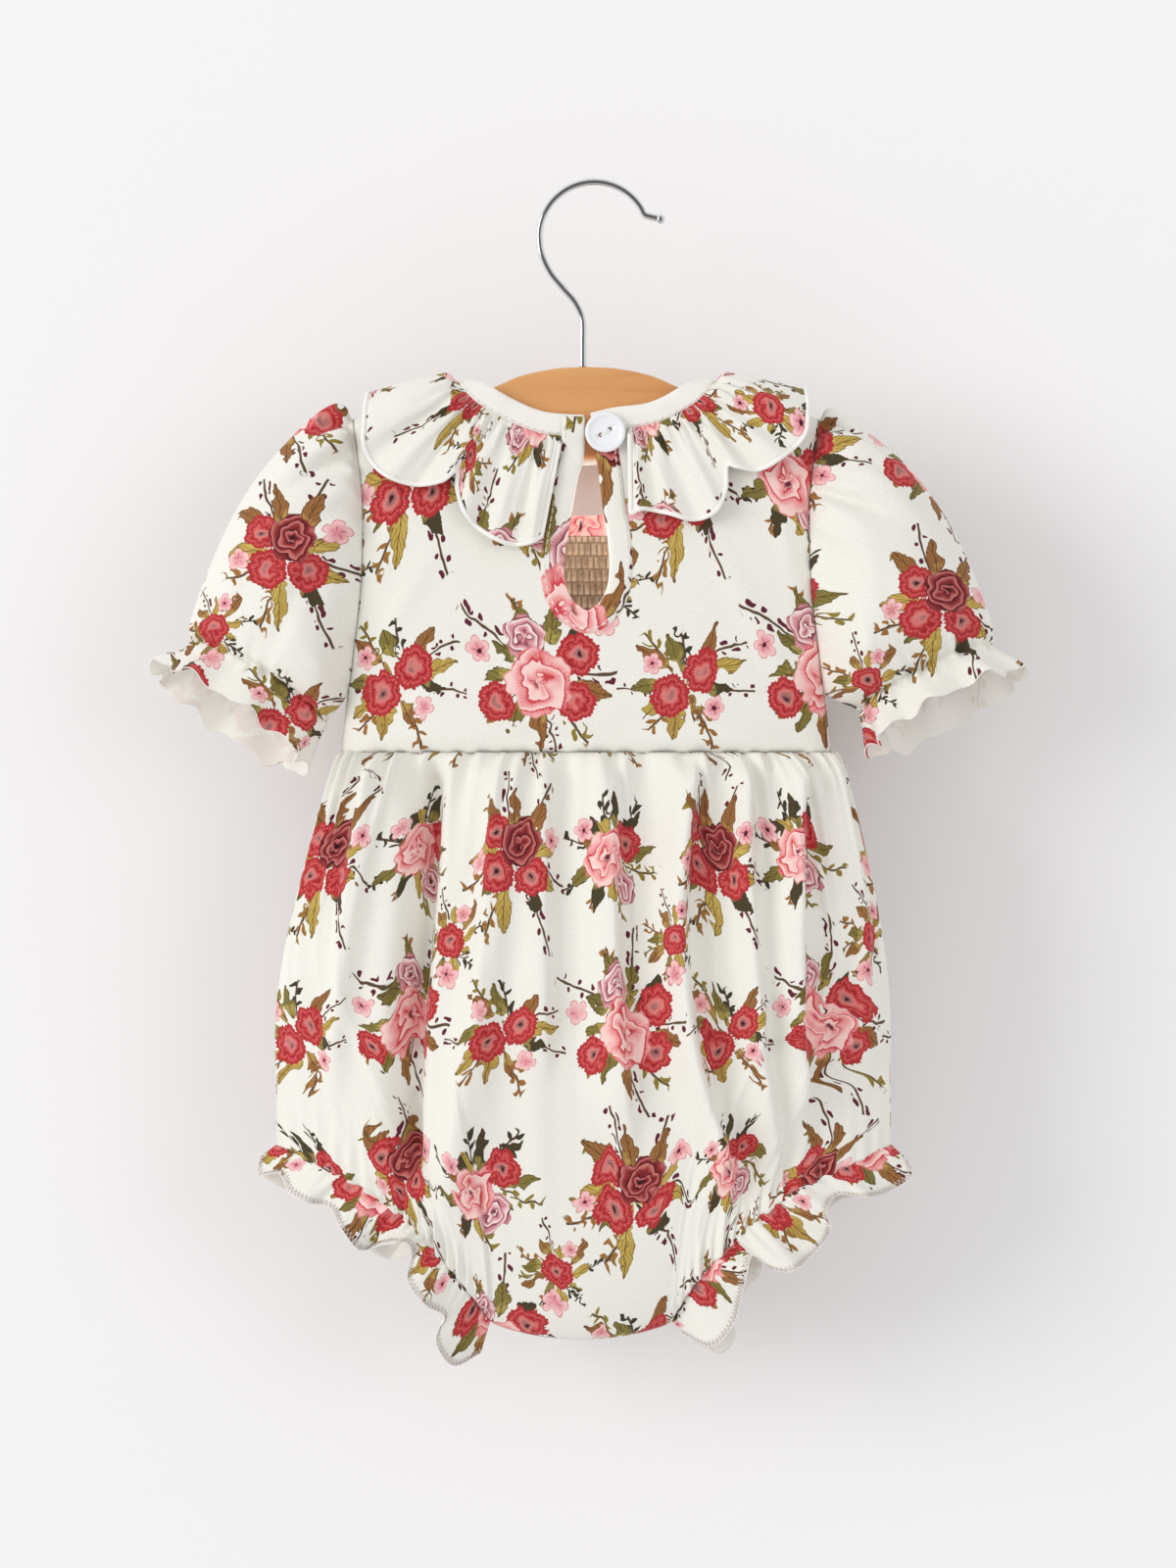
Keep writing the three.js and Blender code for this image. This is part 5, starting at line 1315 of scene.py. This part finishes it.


# %% [markdown]
# ## Smocked front
# Rows of elastic thread draw the front panel into small tucks. Every tuck could be modelled, but they
# are finer than a millimetre and lie behind the keyhole. So waves give a low relief that changes from
# row to row, and the finish's colour has painted shade and light on the same waves: darker between
# the tucks and along the rows, lighter on the raised tops.

# %% Smocked front
def smocking(x, z):
    row = np.floor(z / SMOCK["row"])
    rib = np.abs(np.sin(math.pi * z / SMOCK["row"])) ** 0.5
    tuck = np.abs(np.cos(math.pi * (x + SMOCK["lean"] * np.sin(row * 2.4)) / SMOCK["tuck"])) ** 0.7
    uneven = 0.8 + 0.2 * np.sin(x * 0.9 + row * 5.1)
    return 1.3 * rib * (0.2 + 0.8 * tuck) * uneven - 0.3


def smock_panel():
    cols, rows = 401, 113
    x_share = np.linspace(1, -1, cols)
    z = np.linspace(YOKE_BOTTOM, 0, rows)[:, None]
    x = x_share[None, :] * read(BODICE, "z", "half", z)
    sides = smooth(1, 0.97, np.abs(x_share))[None, :]
    edge = sides * smooth(0, 2, z) * smooth(YOKE_BOTTOM, YOKE_BOTTOM - 2, z)
    points = xyz(x, np.maximum(bodice_depth(x, z) + smocking(x, z) * edge, 0.02), z)
    cloth = points[..., [0, 2]] * (SMOCK["drawn"], 1) / 1000
    return sheet("smocked_front_cloth", points, cloth, [smocked_jersey], 0.8)


made["front_smocked_panel"] = smock_panel()

# %% [markdown]
# ## Lower sheets
# Back and front of the lower part are two cuts, gathered at the waist. One tube would be simpler, but
# the print breaks at the side seams, as on the real cloth. The rows of the grid lie closer together
# near the leg line, where the gathers are finest, and the print is widened at the waist to stand for
# the cloth that is taken up there.

# %% Lower sheets
def lower_sheet(name, side, folds, cols, rows, shift):
    across = np.linspace(0, 1, cols)[None, :]
    if side == FRONT:
        across = across[:, ::-1]
    t = np.linspace(0, 1, rows)[:, None]
    down = mix(t, 1 - (1 - t) ** 1.6, 0.5)
    across, down = np.broadcast_arrays(across, down)
    points = lower_point(across, down, side, folds, lower_small(side))
    squeeze = 1 + 0.28 * np.exp(-np.linspace(0, 240, rows) / 60)
    cloth = flat_cloth(points, cols // 2, 0, squeeze) + np.array(shift)
    return sheet(name, points, cloth, PRINTED, 1.0)


made["back_lower"] = lower_sheet("back_lower_cloth", BACK, BACK_FOLDS, 261, 150, (0.071, 0.02))
made["front_lower"] = lower_sheet("front_lower_cloth", FRONT, FRONT_FOLDS, 221, 120, (0.43, 0.31))


# %% [markdown]
# ## Leg ruffles
# Each leg ends in a narrow ruffle that runs all round. It could be part of the lower sheets, but its
# print runs along the strip. So it is a closed strip, and its first and last column are merged.

# %% Leg ruffles
def leg_ruffle(name, hand):
    turn = np.linspace(0, 1, 361)[None, :]
    out = np.linspace(0, 1, 15)[:, None]
    turn, out = np.broadcast_arrays(turn % 1.0, out)
    points = leg_ruffle_point(turn, out, hand)
    if hand == RIGHT:
        points = points[:, ::-1]
    cloth = strip_cloth(points, 0) + np.array((0.21 * hand, 0.17))
    return sheet(name, points, cloth, PRINTED, 0.9, ring=True), points


made["left_leg_ruffle"], left_leg_grid = leg_ruffle("left_leg_ruffle_cloth", LEFT)
made["right_leg_ruffle"], right_leg_grid = leg_ruffle("right_leg_ruffle_cloth", RIGHT)

# %% [markdown]
# ## Sleeve sheets
# A sleeve is one closed tube with its seam below. Its print could be unrolled round the tube, but then
# it would fan out at the head. The map is laid flat across the front instead, and measured on the form
# without creases, so that pleats do not smear the flowers.

# %% Sleeve sheets
def sleeve_sheet(name, rows, hand, seed, shift):
    at = np.concatenate([np.linspace(0, 2.2, 34)[:-1], np.linspace(2.2, 6, 36)[:-1], np.linspace(6, 10, 40)])[:, None]
    turn = np.linspace(0, TAU, 241)[None, :]
    at, turn = np.broadcast_arrays(at, turn)
    turn = np.where(turn >= TAU - 1e-9, 0.0, turn)
    points = sleeve_point(rows, at, turn, hand, sleeve_wrinkles(seed))
    smooth_form = sleeve_point(rows, at, turn, hand)
    ring = ring_rows(rows)
    outer = xyz(read(ring, "ring", "outer_x", at[:, 0]), 0, read(ring, "ring", "outer_z", at[:, 0]))
    inner = xyz(read(ring, "ring", "inner_x", at[:, 0]), 0, read(ring, "ring", "inner_z", at[:, 0]))
    along = (outer - inner) / np.linalg.norm(outer - inner, axis=-1, keepdims=True)
    steps = np.linalg.norm(np.diff(smooth_form, axis=1), axis=-1)
    walked = np.concatenate([np.zeros((len(points), 1)), np.cumsum(steps, axis=1)], axis=1)
    quarter = walked[:, [60]]
    from_top = np.minimum(walked, walked[:, [-1]] - walked)
    flat = (outer + inner)[:, None] / 2 + along[:, None] * (quarter - from_top)[..., None]
    cloth = np.stack([hand * flat[..., 0], flat[..., 2]], axis=-1) / 1000 + np.array(shift)
    if hand == RIGHT:
        points, cloth = points[:, ::-1], cloth[:, ::-1]
    return sheet(name, points, cloth, PRINTED, 1.0, ring=True), points


made["left_sleeve"], left_sleeve_grid = sleeve_sheet("left_sleeve_cloth", LEFT_SLEEVE, LEFT, 5, (0.215, 0.03))
made["right_sleeve"], right_sleeve_grid = sleeve_sheet("right_sleeve_cloth", RIGHT_SLEEVE, RIGHT, 9, (0.3, 0.052))

# %% [markdown]
# ## Collar sheet
# The left and the right half of the collar differ, and they meet at the front. Two sheets would leave
# a seam there, so both halves share one grid from one side of the slit to the other. The rolled white
# edge is a thin tube along the rim, because a painted line would show no thickness.

# %% Collar sheet
def collar_sheet():
    half = 240
    at = 5 * (1 - np.abs(np.linspace(-1, 1, 2 * half + 1)))[None, :]
    out = (np.linspace(0, 1, 30) ** 1.25)[:, None]
    at, out = np.broadcast_arrays(at, out)
    left, right = collar_point(at, out, LEFT), collar_point(at, out, RIGHT)
    points = np.concatenate([left[:, :half], right[:, half:]], axis=1)
    cloth = strip_cloth(points, half) + np.array((0.03, 0.24))
    return sheet("collar_cloth", points, cloth, PRINTED, 1.0), points


made["collar"], collar_grid = collar_sheet()
edge_line = np.concatenate([collar_grid[:, 0][4:-1], collar_grid[-1], collar_grid[::-1, -1][1:-4]])
collar_rim = tube("collar_rolled_rim", [edge_line], 0.95, thread)


# %% [markdown]
# ## Bindings
# A binding is a strip folded over a raw edge. It could be a bevelled curve, but its section is flat
# with round corners and open towards the cloth. band() carries such a section along a path, turned so
# that it always faces the viewer. Two slow waves let it puff a little, as sewn jersey does.

# %% Bands
def band(name, path, outwards, hollow, width, depth, materials, shift, stretch=1.0, sides=17):
    grid = []
    for i, point in enumerate(path):
        along = path[min(i + 1, len(path) - 1)] - path[max(i - 1, 0)]
        along /= np.linalg.norm(along)
        out = outwards[i] - along * np.dot(outwards[i], along)
        out /= np.linalg.norm(out)
        across = np.cross(along, out)
        across *= np.sign(np.dot(across, hollow[i] - point))
        turns = np.linspace(-0.9 * math.pi, 0.9 * math.pi, sides)
        puff = 1 + 0.05 * math.sin(i * 0.61) + 0.04 * math.sin(i * 0.37)
        wide = np.sign(np.cos(turns)) * np.abs(np.cos(turns)) ** 0.7 * width / 2
        deep = np.sign(np.sin(turns)) * np.abs(np.sin(turns)) ** 0.7 * depth / 2 * puff
        grid.append(point + across * wide[:, None] + out * deep[:, None])
    points = np.array(grid)
    cloth = flat_cloth(points, 0, 0) * (1, -1 / stretch) + np.array(shift)
    made_band = sheet(name, points, cloth, materials, 0.6)
    bm = bmesh.new()
    bm.from_mesh(made_band.data)
    middles = place(path)
    inwards = 0
    for face in bm.faces:
        centre = face.calc_center_median()
        closest = np.argmin(np.linalg.norm(middles - np.array(centre), axis=1))
        inwards += face.normal.dot(Vector(middles[closest]) - centre)
    if inwards > 0:
        bmesh.ops.reverse_faces(bm, faces=bm.faces)
        bm.to_mesh(made_band.data)
    bm.free()
    return made_band


def neck_path(distance, lift, count=240):
    def outer_edge(hand):
        reach = read(KEYHOLE_LINE, "z", "half", KEYHOLE["top"]) - KEYHOLE["width"] / 2 + SEAM_GAP
        return float(read(KEYHOLE_LINE, "z", "centre", KEYHOLE["top"]) + hand * reach)

    start = math.degrees(math.asin(outer_edge(RIGHT) / NECK["half"]))
    stop = 360 + math.degrees(math.asin(outer_edge(LEFT) / NECK["half"]))
    places = neck_offset(np.linspace(start, stop, count), np.full(count, distance))
    return on_bodice(places[:, 0], places[:, 1], lift), places


middle = -NECK["width"] / 2 - 0.4
NECK_SHOWN = NECK["depth"] + 0.8
path, places = neck_path(middle, -CLOTH / 2)
outwards = on_bodice(places[:, 0], places[:, 1], 1.0) - path
hollow = np.tile([0.0, 0.0, 175.0], (len(path), 1))
made["neck_binding"] = band(
    "neck_binding_cloth", path, outwards, hollow, NECK["width"] + 0.6, NECK_SHOWN, [white_jersey], (0, 0)
)
print("points of the neck path:", len(path))


# %% [markdown]
# ## Keyhole binding
# The second binding follows the slit and rounds its foot. A plain offset of the slit's table would
# cross itself there, so the knots beside the foot are drawn in, and one knot marks the lowest point.
# At its left top it rises over the end of the neck binding, where the button sits.

# %% Keyhole binding
def keyhole_path(outward, right_top, left_top, count=150):
    def one_side(hand, top):
        lowest = KEYHOLE_LINE["z"][-1]
        heights = np.array([top, 121, 112, 100, 90, 83, 75, 66.6, 60, lowest])
        turned = smooth(76, lowest, heights)
        half = read(KEYHOLE_LINE, "z", "half", heights) + outward * (1 - 0.42 * turned)
        centre = read(KEYHOLE_LINE, "z", "centre", heights)
        return np.stack([centre + hand * half, heights - outward * 0.8 * turned], axis=-1)

    foot = np.array([[KEYHOLE["foot_x"], KEYHOLE["foot_z"] - outward]])
    knots = np.concatenate([one_side(RIGHT, right_top), foot, one_side(LEFT, left_top)[::-1]])
    order = np.arange(len(knots), dtype=float)
    row = {"i": order, "x": knots[:, 0], "z": knots[:, 1]}
    at = np.linspace(0, len(knots) - 1, count)
    return read(row, "i", "x", at), read(row, "i", "z", at)


def over_neck_end(x, z):
    return 1.9 * smooth(125.5, 129.5, z) * (x < 0)


RIGHT_TOP, LEFT_TOP = 127.8, 136.2
x, z = keyhole_path(0, RIGHT_TOP, LEFT_TOP)
path = xyz(x, -(bodice_depth(x, z) - CLOTH / 2 + over_neck_end(x, z)), z)
outwards = np.tile([0.0, -1.0, 0.0], (len(path), 1))
hollow = xyz(read(KEYHOLE_LINE, "z", "centre", z), path[:, 1], np.maximum(z, 66))
made["keyhole_binding"] = band(
    "keyhole_binding_cloth", path, outwards, hollow, KEYHOLE["width"], KEYHOLE["depth"], [printed_jersey],
    (0.018, -0.016), 1.8
)
print("cloth pieces:", len(made))


# %% [markdown]
# ## Stitches
# Small stitches hold both bindings, and an overlock thread locks the raw edge of sleeves and legs. A
# bump could hint at them, but each stitch casts a tiny shadow that the eye reads as sewing. So each is
# a short tube of its own, set at equal steps along the seam. Their tubes have only four sides, because
# there are hundreds of them and each is thinner than a pixel or two.

# %% Stitches
def walked_length(line):
    return np.concatenate([[0], np.cumsum(np.linalg.norm(np.diff(line, axis=0), axis=1))])


def spots_on(line, steps, at):
    return np.stack([np.interp(at, steps, line[:, k]) for k in range(3)], axis=-1)


def stitches(name, line, gap, length, radius, finish):
    steps = walked_length(line)
    starts = np.arange(gap / 2, steps[-1] - length, gap + length)
    dashes = [spots_on(line, steps, np.array([s, s + length / 2, s + length])) for s in starts]
    return tube(name, dashes, radius, finish, 4)


def overlock(name, grid, lift, radius, finish, pitch=1.9, deep=2.6):
    rim_line, inner_line = grid[-1], grid[-3]
    steps = walked_length(rim_line)
    at = np.linspace(0, steps[-1], 2 * int(steps[-1] / pitch) + 1)
    edge = spots_on(rim_line, steps, at)
    inward = spots_on(inner_line, steps, at) - edge
    inward /= np.linalg.norm(inward, axis=1, keepdims=True)
    out = np.cross(np.gradient(edge, axis=0), inward)
    out /= np.linalg.norm(out, axis=1, keepdims=True)
    zigzag = edge + inward * np.where(np.arange(len(at)) % 2, 0.1, deep)[:, None] + out * lift
    return tube(name, [zigzag[:-1], edge + out * lift * 0.2], radius, finish, 4)


neck_line, _ = neck_path(middle + 3.2, NECK_SHOWN / 2 - CLOTH / 2 + 0.02, 400)
neck_stitches = stitches("neck_stitches", neck_line, 1.0, 2.2, 0.28, thread)
x, z = keyhole_path(3.1, RIGHT_TOP - 1, LEFT_TOP - 1, 400)
y = -(bodice_depth(x, z) + 0.75 + over_neck_end(x, z))
keyhole_stitches = stitches("keyhole_stitches", xyz(x, y, z), 1.0, 2.2, 0.26, thread)
left_sleeve_overlock = overlock("left_sleeve_overlock", left_sleeve_grid, 0.25, 0.3, overlock_thread)
right_sleeve_overlock = overlock("right_sleeve_overlock", right_sleeve_grid, 0.25, 0.3, overlock_thread)
left_leg_overlock = overlock("left_leg_overlock", left_leg_grid, 0.25, 0.3, overlock_thread)
right_leg_overlock = overlock("right_leg_overlock", right_leg_grid, 0.25, 0.3, overlock_thread)

# %% [markdown]
# ## Button
# The button is a round disc with a raised rim, a shallow dish and two holes. It could be a bevelled
# cylinder, but a profile spun about an axis gives rim and dish at once, as a lathe does. Two drills
# then cut the holes. It is turned by its tilt and set on the bindings, and two threads cross its middle.

# %% Button
BUTTON = {"x": 7.8, "z": 129.8, "radius": 8.2, "depth": 2.6, "hole": 0.9, "apart": 4.3, "tilt": 32, "lift": 0.5}


def lathe(name, profile, steps, material):
    """A round piece: its profile is spun about the upright axis."""
    bm = bmesh.new()
    corners = [bm.verts.new((r, 0, h)) for r, h in profile]
    line = [bm.edges.new(pair) for pair in zip(corners, corners[1:])]
    bmesh.ops.spin(bm, geom=corners + line, cent=(0, 0, 0), axis=(0, 0, 1), angle=TAU, steps=steps, use_merge=True)
    bmesh.ops.remove_doubles(bm, verts=bm.verts, dist=1e-6)
    bmesh.ops.recalc_face_normals(bm, faces=bm.faces)
    for face in bm.faces:
        face.smooth = True
    return show(name, bm, [material])


def make_button():
    r, d = BUTTON["radius"] / 1000, BUTTON["depth"] / 1000
    profile = [
        (0, 0), (r - 0.0008, 0), (r - 0.0002, 0.0003), (r, 0.0008),
        (r, d - 0.0008), (r - 0.0003, d - 0.0002), (r - 0.0008, d), (r - 0.0014, d - 0.0001),
        (r - 0.002, d - 0.0006), (r - 0.0028, d - 0.0009), (0.0025, d - 0.001), (0, d - 0.0011),
    ]
    button = lathe("button", profile, 64, button_plastic)
    drills = []
    for sign in (-1, 1):
        bm = bmesh.new()
        where = Matrix.Translation((sign * BUTTON["apart"] / 2000, 0, 0.002))
        hole = BUTTON["hole"] / 1000
        bmesh.ops.create_cone(
            bm, cap_ends=True, segments=20, radius1=hole, radius2=hole, depth=0.008, matrix=where
        )
        drill = show("drill", bm, [button_plastic])
        cut = button.modifiers.new("hole", "BOOLEAN")
        cut.operation = "DIFFERENCE"
        cut.solver = "EXACT"
        cut.object = drill
        drills.append(drill)
    bpy.context.view_layer.update()
    cut_mesh = bpy.data.meshes.new_from_object(button.evaluated_get(bpy.context.evaluated_depsgraph_get()))
    button.modifiers.clear()
    button.data = cut_mesh
    for drill in drills:
        bpy.data.objects.remove(drill)
    tilt = math.radians(BUTTON["tilt"])
    cloth_face = float(bodice_depth(BUTTON["x"], BUTTON["z"])) - CLOTH / 2
    seat = cloth_face + KEYHOLE["depth"] / 2 + SEAM_GAP + BUTTON["lift"]
    centre = place([BUTTON["x"], -seat, BUTTON["z"]])
    for v in cut_mesh.vertices:
        a, b, h = v.co
        v.co = (
            centre[0] + a * math.cos(tilt) - b * math.sin(tilt),
            centre[1] - h,
            centre[2] + a * math.sin(tilt) + b * math.cos(tilt),
        )
    cut_mesh.flip_normals()
    return button, centre, tilt


button, centre, tilt = make_button()
half = BUTTON["apart"] / 2
shaft = np.array([[math.cos(tilt), 0, math.sin(tilt)]])
front = centre * 1000 + ORIGIN + np.array([0, -1.7, 0])
THREAD_PATH = [(-1, 1.0), (-0.9, 0.1), (0, -0.35), (0.9, 0.1), (1, 1.0)]
cross = np.array([front + shaft[0] * half * s + np.array([0, depth, 0]) for s, depth in THREAD_PATH])
button_thread = tube("button_thread", [cross, cross + np.array([0.25, 0.1, -0.4])], 0.3, thread, 6)

print("button faces:", len(button.data.polygons))

# %% [markdown]
# ## Hanger board
# The board is cut from one thin plank, with its edges rounded by sanding. It could be a curve with a
# bevel, but its height changes along its length. So its outline is drawn as one face, pulled back by
# the thickness of the plank, and its two rims are bevelled. Inside the shoulders nothing shows of it.

# %% Hanger board
def make_board():
    outline = columns(
        "x z",
        (0, 157.2), (13, 156.4), (27, 153.4), (39, 148.4), (50, 146.6), (60, 144.2), (70, 140.6), (79, 136.6),
        (81, 132.8), (79, 128.5), (60, 123.5), (30, 120.6), (0, 119.6),
    )
    knots = {"i": np.arange(13.0), **outline}
    at = np.linspace(0, 12, 73)
    right = np.stack([read(knots, "i", "x", at), read(knots, "i", "z", at)], axis=-1)
    loop = np.concatenate([right, (right * [-1, 1])[::-1][1:-1]])
    half_depth, edge_round = 4.8, 2.6
    bm = bmesh.new()
    face = bm.faces.new([bm.verts.new(p) for p in place(xyz(loop[:, 0], -half_depth, loop[:, 1]))])
    grown = bmesh.ops.extrude_face_region(bm, geom=[face])["geom"]
    back_rim = [v for v in grown if isinstance(v, bmesh.types.BMVert)]
    bmesh.ops.translate(bm, verts=back_rim, vec=(0, 2 * half_depth / 1000, 0))
    rims = [e for e in bm.edges if any(len(f.verts) > 4 for f in e.link_faces)]
    bmesh.ops.bevel(
        bm, geom=rims, offset=edge_round / 1000, segments=5, profile=0.5, affect="EDGES", material=-1, clamp_overlap=True
    )
    bmesh.ops.recalc_face_normals(bm, faces=bm.faces)
    for face in bm.faces:
        face.smooth = len(face.verts) == 4
    return show("hanger_board_wood", bm, [hanger_wood])


board = make_board()
print("board faces:", len(board.data.polygons))

# %% [markdown]
# ## Hook
# The hook is one bent wire with a small ball at its tip, so that it does not scratch. A torus would
# give the round part only. A smooth curve through the knots of the shank, the arc and the tip gives
# the whole wire in one go, and a small sphere closes it.

# %% Hook
shank = [(-1.2, 157.0), (-1.2, 168), (-1.5, 177.2), (-4.6, 184), (-9.4, 189.6), (-14.6, 196), (-18, 203.4)]
arc = [
    (HOOK["x"] + HOOK["radius"] * math.cos(a), HOOK["z"] + HOOK["radius"] * math.sin(a))
    for a in np.radians(np.linspace(180, HOOK["end"], 23))
]
knots = np.array([*shank, *arc, (26.2, 218.9), (29.6, 218.1)])
walked = walked_length(knots)
row = {"s": walked, "x": knots[:, 0], "z": knots[:, 1]}
at = np.linspace(0, walked[-1], 150)
wire_line = xyz(read(row, "s", "x", at), 0, read(row, "s", "z", at))
wire = tube("hanger_hook_wire", [wire_line], WIRE_RADIUS, hook_chrome, 18)
bm = bmesh.new()
where = Matrix.Translation(place([30.4, 0, 217.9]))
bmesh.ops.create_uvsphere(bm, u_segments=20, v_segments=12, radius=0.002, matrix=where)
for face in bm.faces:
    face.smooth = True
ball = show("hook_ball", bm, [hook_chrome])

# %% [markdown]
# ## What each piece is
# Each shown piece is hung on the body that it rides on, and the solid that it stands for is hidden.
# That could be written beside each piece, but in one place nothing is forgotten. Each cloth piece also
# has its flat cut listed: its width and length in metres, its area, and how the cloth is held. The printed
# area beside it shows how near the sheet comes to its cut.

# %% Bodies and hidden solids
def area_of(obj):
    bm = bmesh.new()
    bm.from_mesh(obj.data)
    total = sum(face.calc_area() for face in bm.faces)
    bm.free()
    return total


CUTS = {
    "back_bodice": (0.2, 0.145, 0.027, "hung"),
    "front_yoke": (0.2, 0.065, 0.0092, "hung"),
    "front_smocked_panel": (0.26, 0.092, 0.0239, "gathered"),
    "back_lower": (0.3, 0.245, 0.062, "gathered"),
    "front_lower": (0.3, 0.245, 0.062, "gathered"),
    "left_sleeve": (0.25, 0.13, 0.0225, "gathered"),
    "right_sleeve": (0.25, 0.13, 0.0225, "gathered"),
    "left_leg_ruffle": (0.37, 0.0135, 0.0049, "gathered"),
    "right_leg_ruffle": (0.37, 0.0135, 0.0049, "gathered"),
    "collar": (0.6, 0.034, 0.0204, "gathered"),
    "neck_binding": (0.225, 0.02, 0.0045, "stretched"),
    "keyhole_binding": (0.178, 0.021, 0.0037, "stretched"),
}
GOING = {
    "collar": [collar_rim], "neck_binding": [neck_stitches], "keyhole_binding": [keyhole_stitches],
    "left_sleeve": [left_sleeve_overlock], "right_sleeve": [right_sleeve_overlock],
    "left_leg_ruffle": [left_leg_overlock], "right_leg_ruffle": [right_leg_overlock],
}
for node, obj in made.items():
    print(node, "area", round(area_of(obj), 4), "of", CUTS[node][2])
for node, obj in made.items():
    wide, length, cut_area, held = CUTS[node]
    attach(obj, "root")
    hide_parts(node)
    for other in GOING.get(node, []):
        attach(other, "root")
for obj, node, finish in (
    (button, "button", "button_plastic"), (board, "hanger_board", "hanger_wood"), (wire, "hanger_hook", "hook_chrome"),
):
    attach(obj, "root")
    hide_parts(node)
for obj, finish in ((ball, "hook_chrome"), (button_thread, "printed_jersey")):
    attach(obj, "root")

# %% [markdown]
# ## Wall
# In the photo the hanger hangs in front of a pale wall. A plain background colour would give no
# shadow, so a real plane stands close behind.

# %% Wall
bpy.ops.mesh.primitive_plane_add(size=6, location=(0, 0.075, -0.25), rotation=(math.pi / 2, 0, 0))
wall = bpy.context.object
wall.name = "wall"
wall_paint, nodes, surface = material("wall_paint")
surface.inputs["Base Color"].default_value = linear(249, 249, 250)
surface.inputs["Roughness"].default_value = 1
surface.inputs["Specular IOR Level"].default_value = 0
facing = nodes.new("ShaderNodeNewGeometry")
clear = nodes.new("ShaderNodeBsdfTransparent")
choose = nodes.new("ShaderNodeMixShader")
nodes.put(choose.inputs[0], facing.outputs["Backfacing"])
nodes.put(choose.inputs[1], surface.outputs[0])
nodes.put(choose.inputs[2], clear.outputs[0])
nodes.put(nodes.tree.nodes["Material Output"].inputs["Surface"], choose.outputs[0])
wall.data.materials.append(wall_paint)
print("wall at y:", round(wall.location.y, 3))

# %% [markdown]
# ## Light
# Daylight falls from a large window at the left, and the pale room brightens the shadows. A sun lamp
# would draw hard edges. A wide disc gives soft ones, a dim fill and the world's even light stand for
# the room, and two tiny lamps inside stand for the daylight that passes through the thin cloth.

# %% Light
world = bpy.data.worlds.new("studio")
bpy.context.scene.world = world
world.use_nodes = True
world.node_tree.nodes["Background"].inputs["Color"].default_value = (1.0, 0.99, 0.98, 1)
world.node_tree.nodes["Background"].inputs["Strength"].default_value = 0.7


def area_light(name, spot, target, size, power, tone):
    lamp = bpy.data.lights.new(name, "AREA")
    lamp.shape = "DISK"
    lamp.size = size
    lamp.energy = power
    lamp.color = tone
    obj = bpy.data.objects.new(name, lamp)
    bpy.context.scene.collection.objects.link(obj)
    obj.location = spot
    obj.rotation_euler = (Vector(target) - Vector(spot)).to_track_quat("-Z", "Y").to_euler()
    return obj


area_light("key", (-6.0, -4.2, 1.1), (0, 0, -0.25), 4.4, 215, (1, 0.99, 0.97))
area_light("fill", (2.6, -3.4, 0.3), (0, 0, -0.25), 2.2, 17, (0.98, 0.98, 1))
inside = place([[-46, -1, 92], [46, -1, 92], [0, 12, 92]])
area_light("through_left", inside[0], inside[2], 0.008, 0.018, (1, 0.97, 0.93))
area_light("through_right", inside[1], inside[2], 0.008, 0.018, (1, 0.97, 0.93))
print("lights:", len(bpy.data.lights))

# %% [markdown]
# ## Camera
# The photo was taken straight on from about the height of the garment's middle. An orthographic camera
# would come near, but a real lens shows depths a little smaller. The lens is worked out from the
# distance and from the height that the picture shows there.

# %% Camera
CAMERA = {"x": -2.6, "z": -244.3, "distance": 1.8, "tall": 640.0}
camera = bpy.data.cameras.new("camera")
camera.sensor_width = 36
camera.lens = 36 * CAMERA["distance"] * 1000 / CAMERA["tall"]
eye = bpy.data.objects.new("camera", camera)
bpy.context.scene.collection.objects.link(eye)
eye.location = (CAMERA["x"] / 1000, -CAMERA["distance"], CAMERA["z"] / 1000)
eye.rotation_euler = (math.pi / 2, 0, 0)
bpy.context.scene.camera = eye
bpy.context.scene.view_settings.view_transform = "Standard"
bpy.context.scene.view_settings.look = "None"
print("lens:", round(camera.lens, 1))
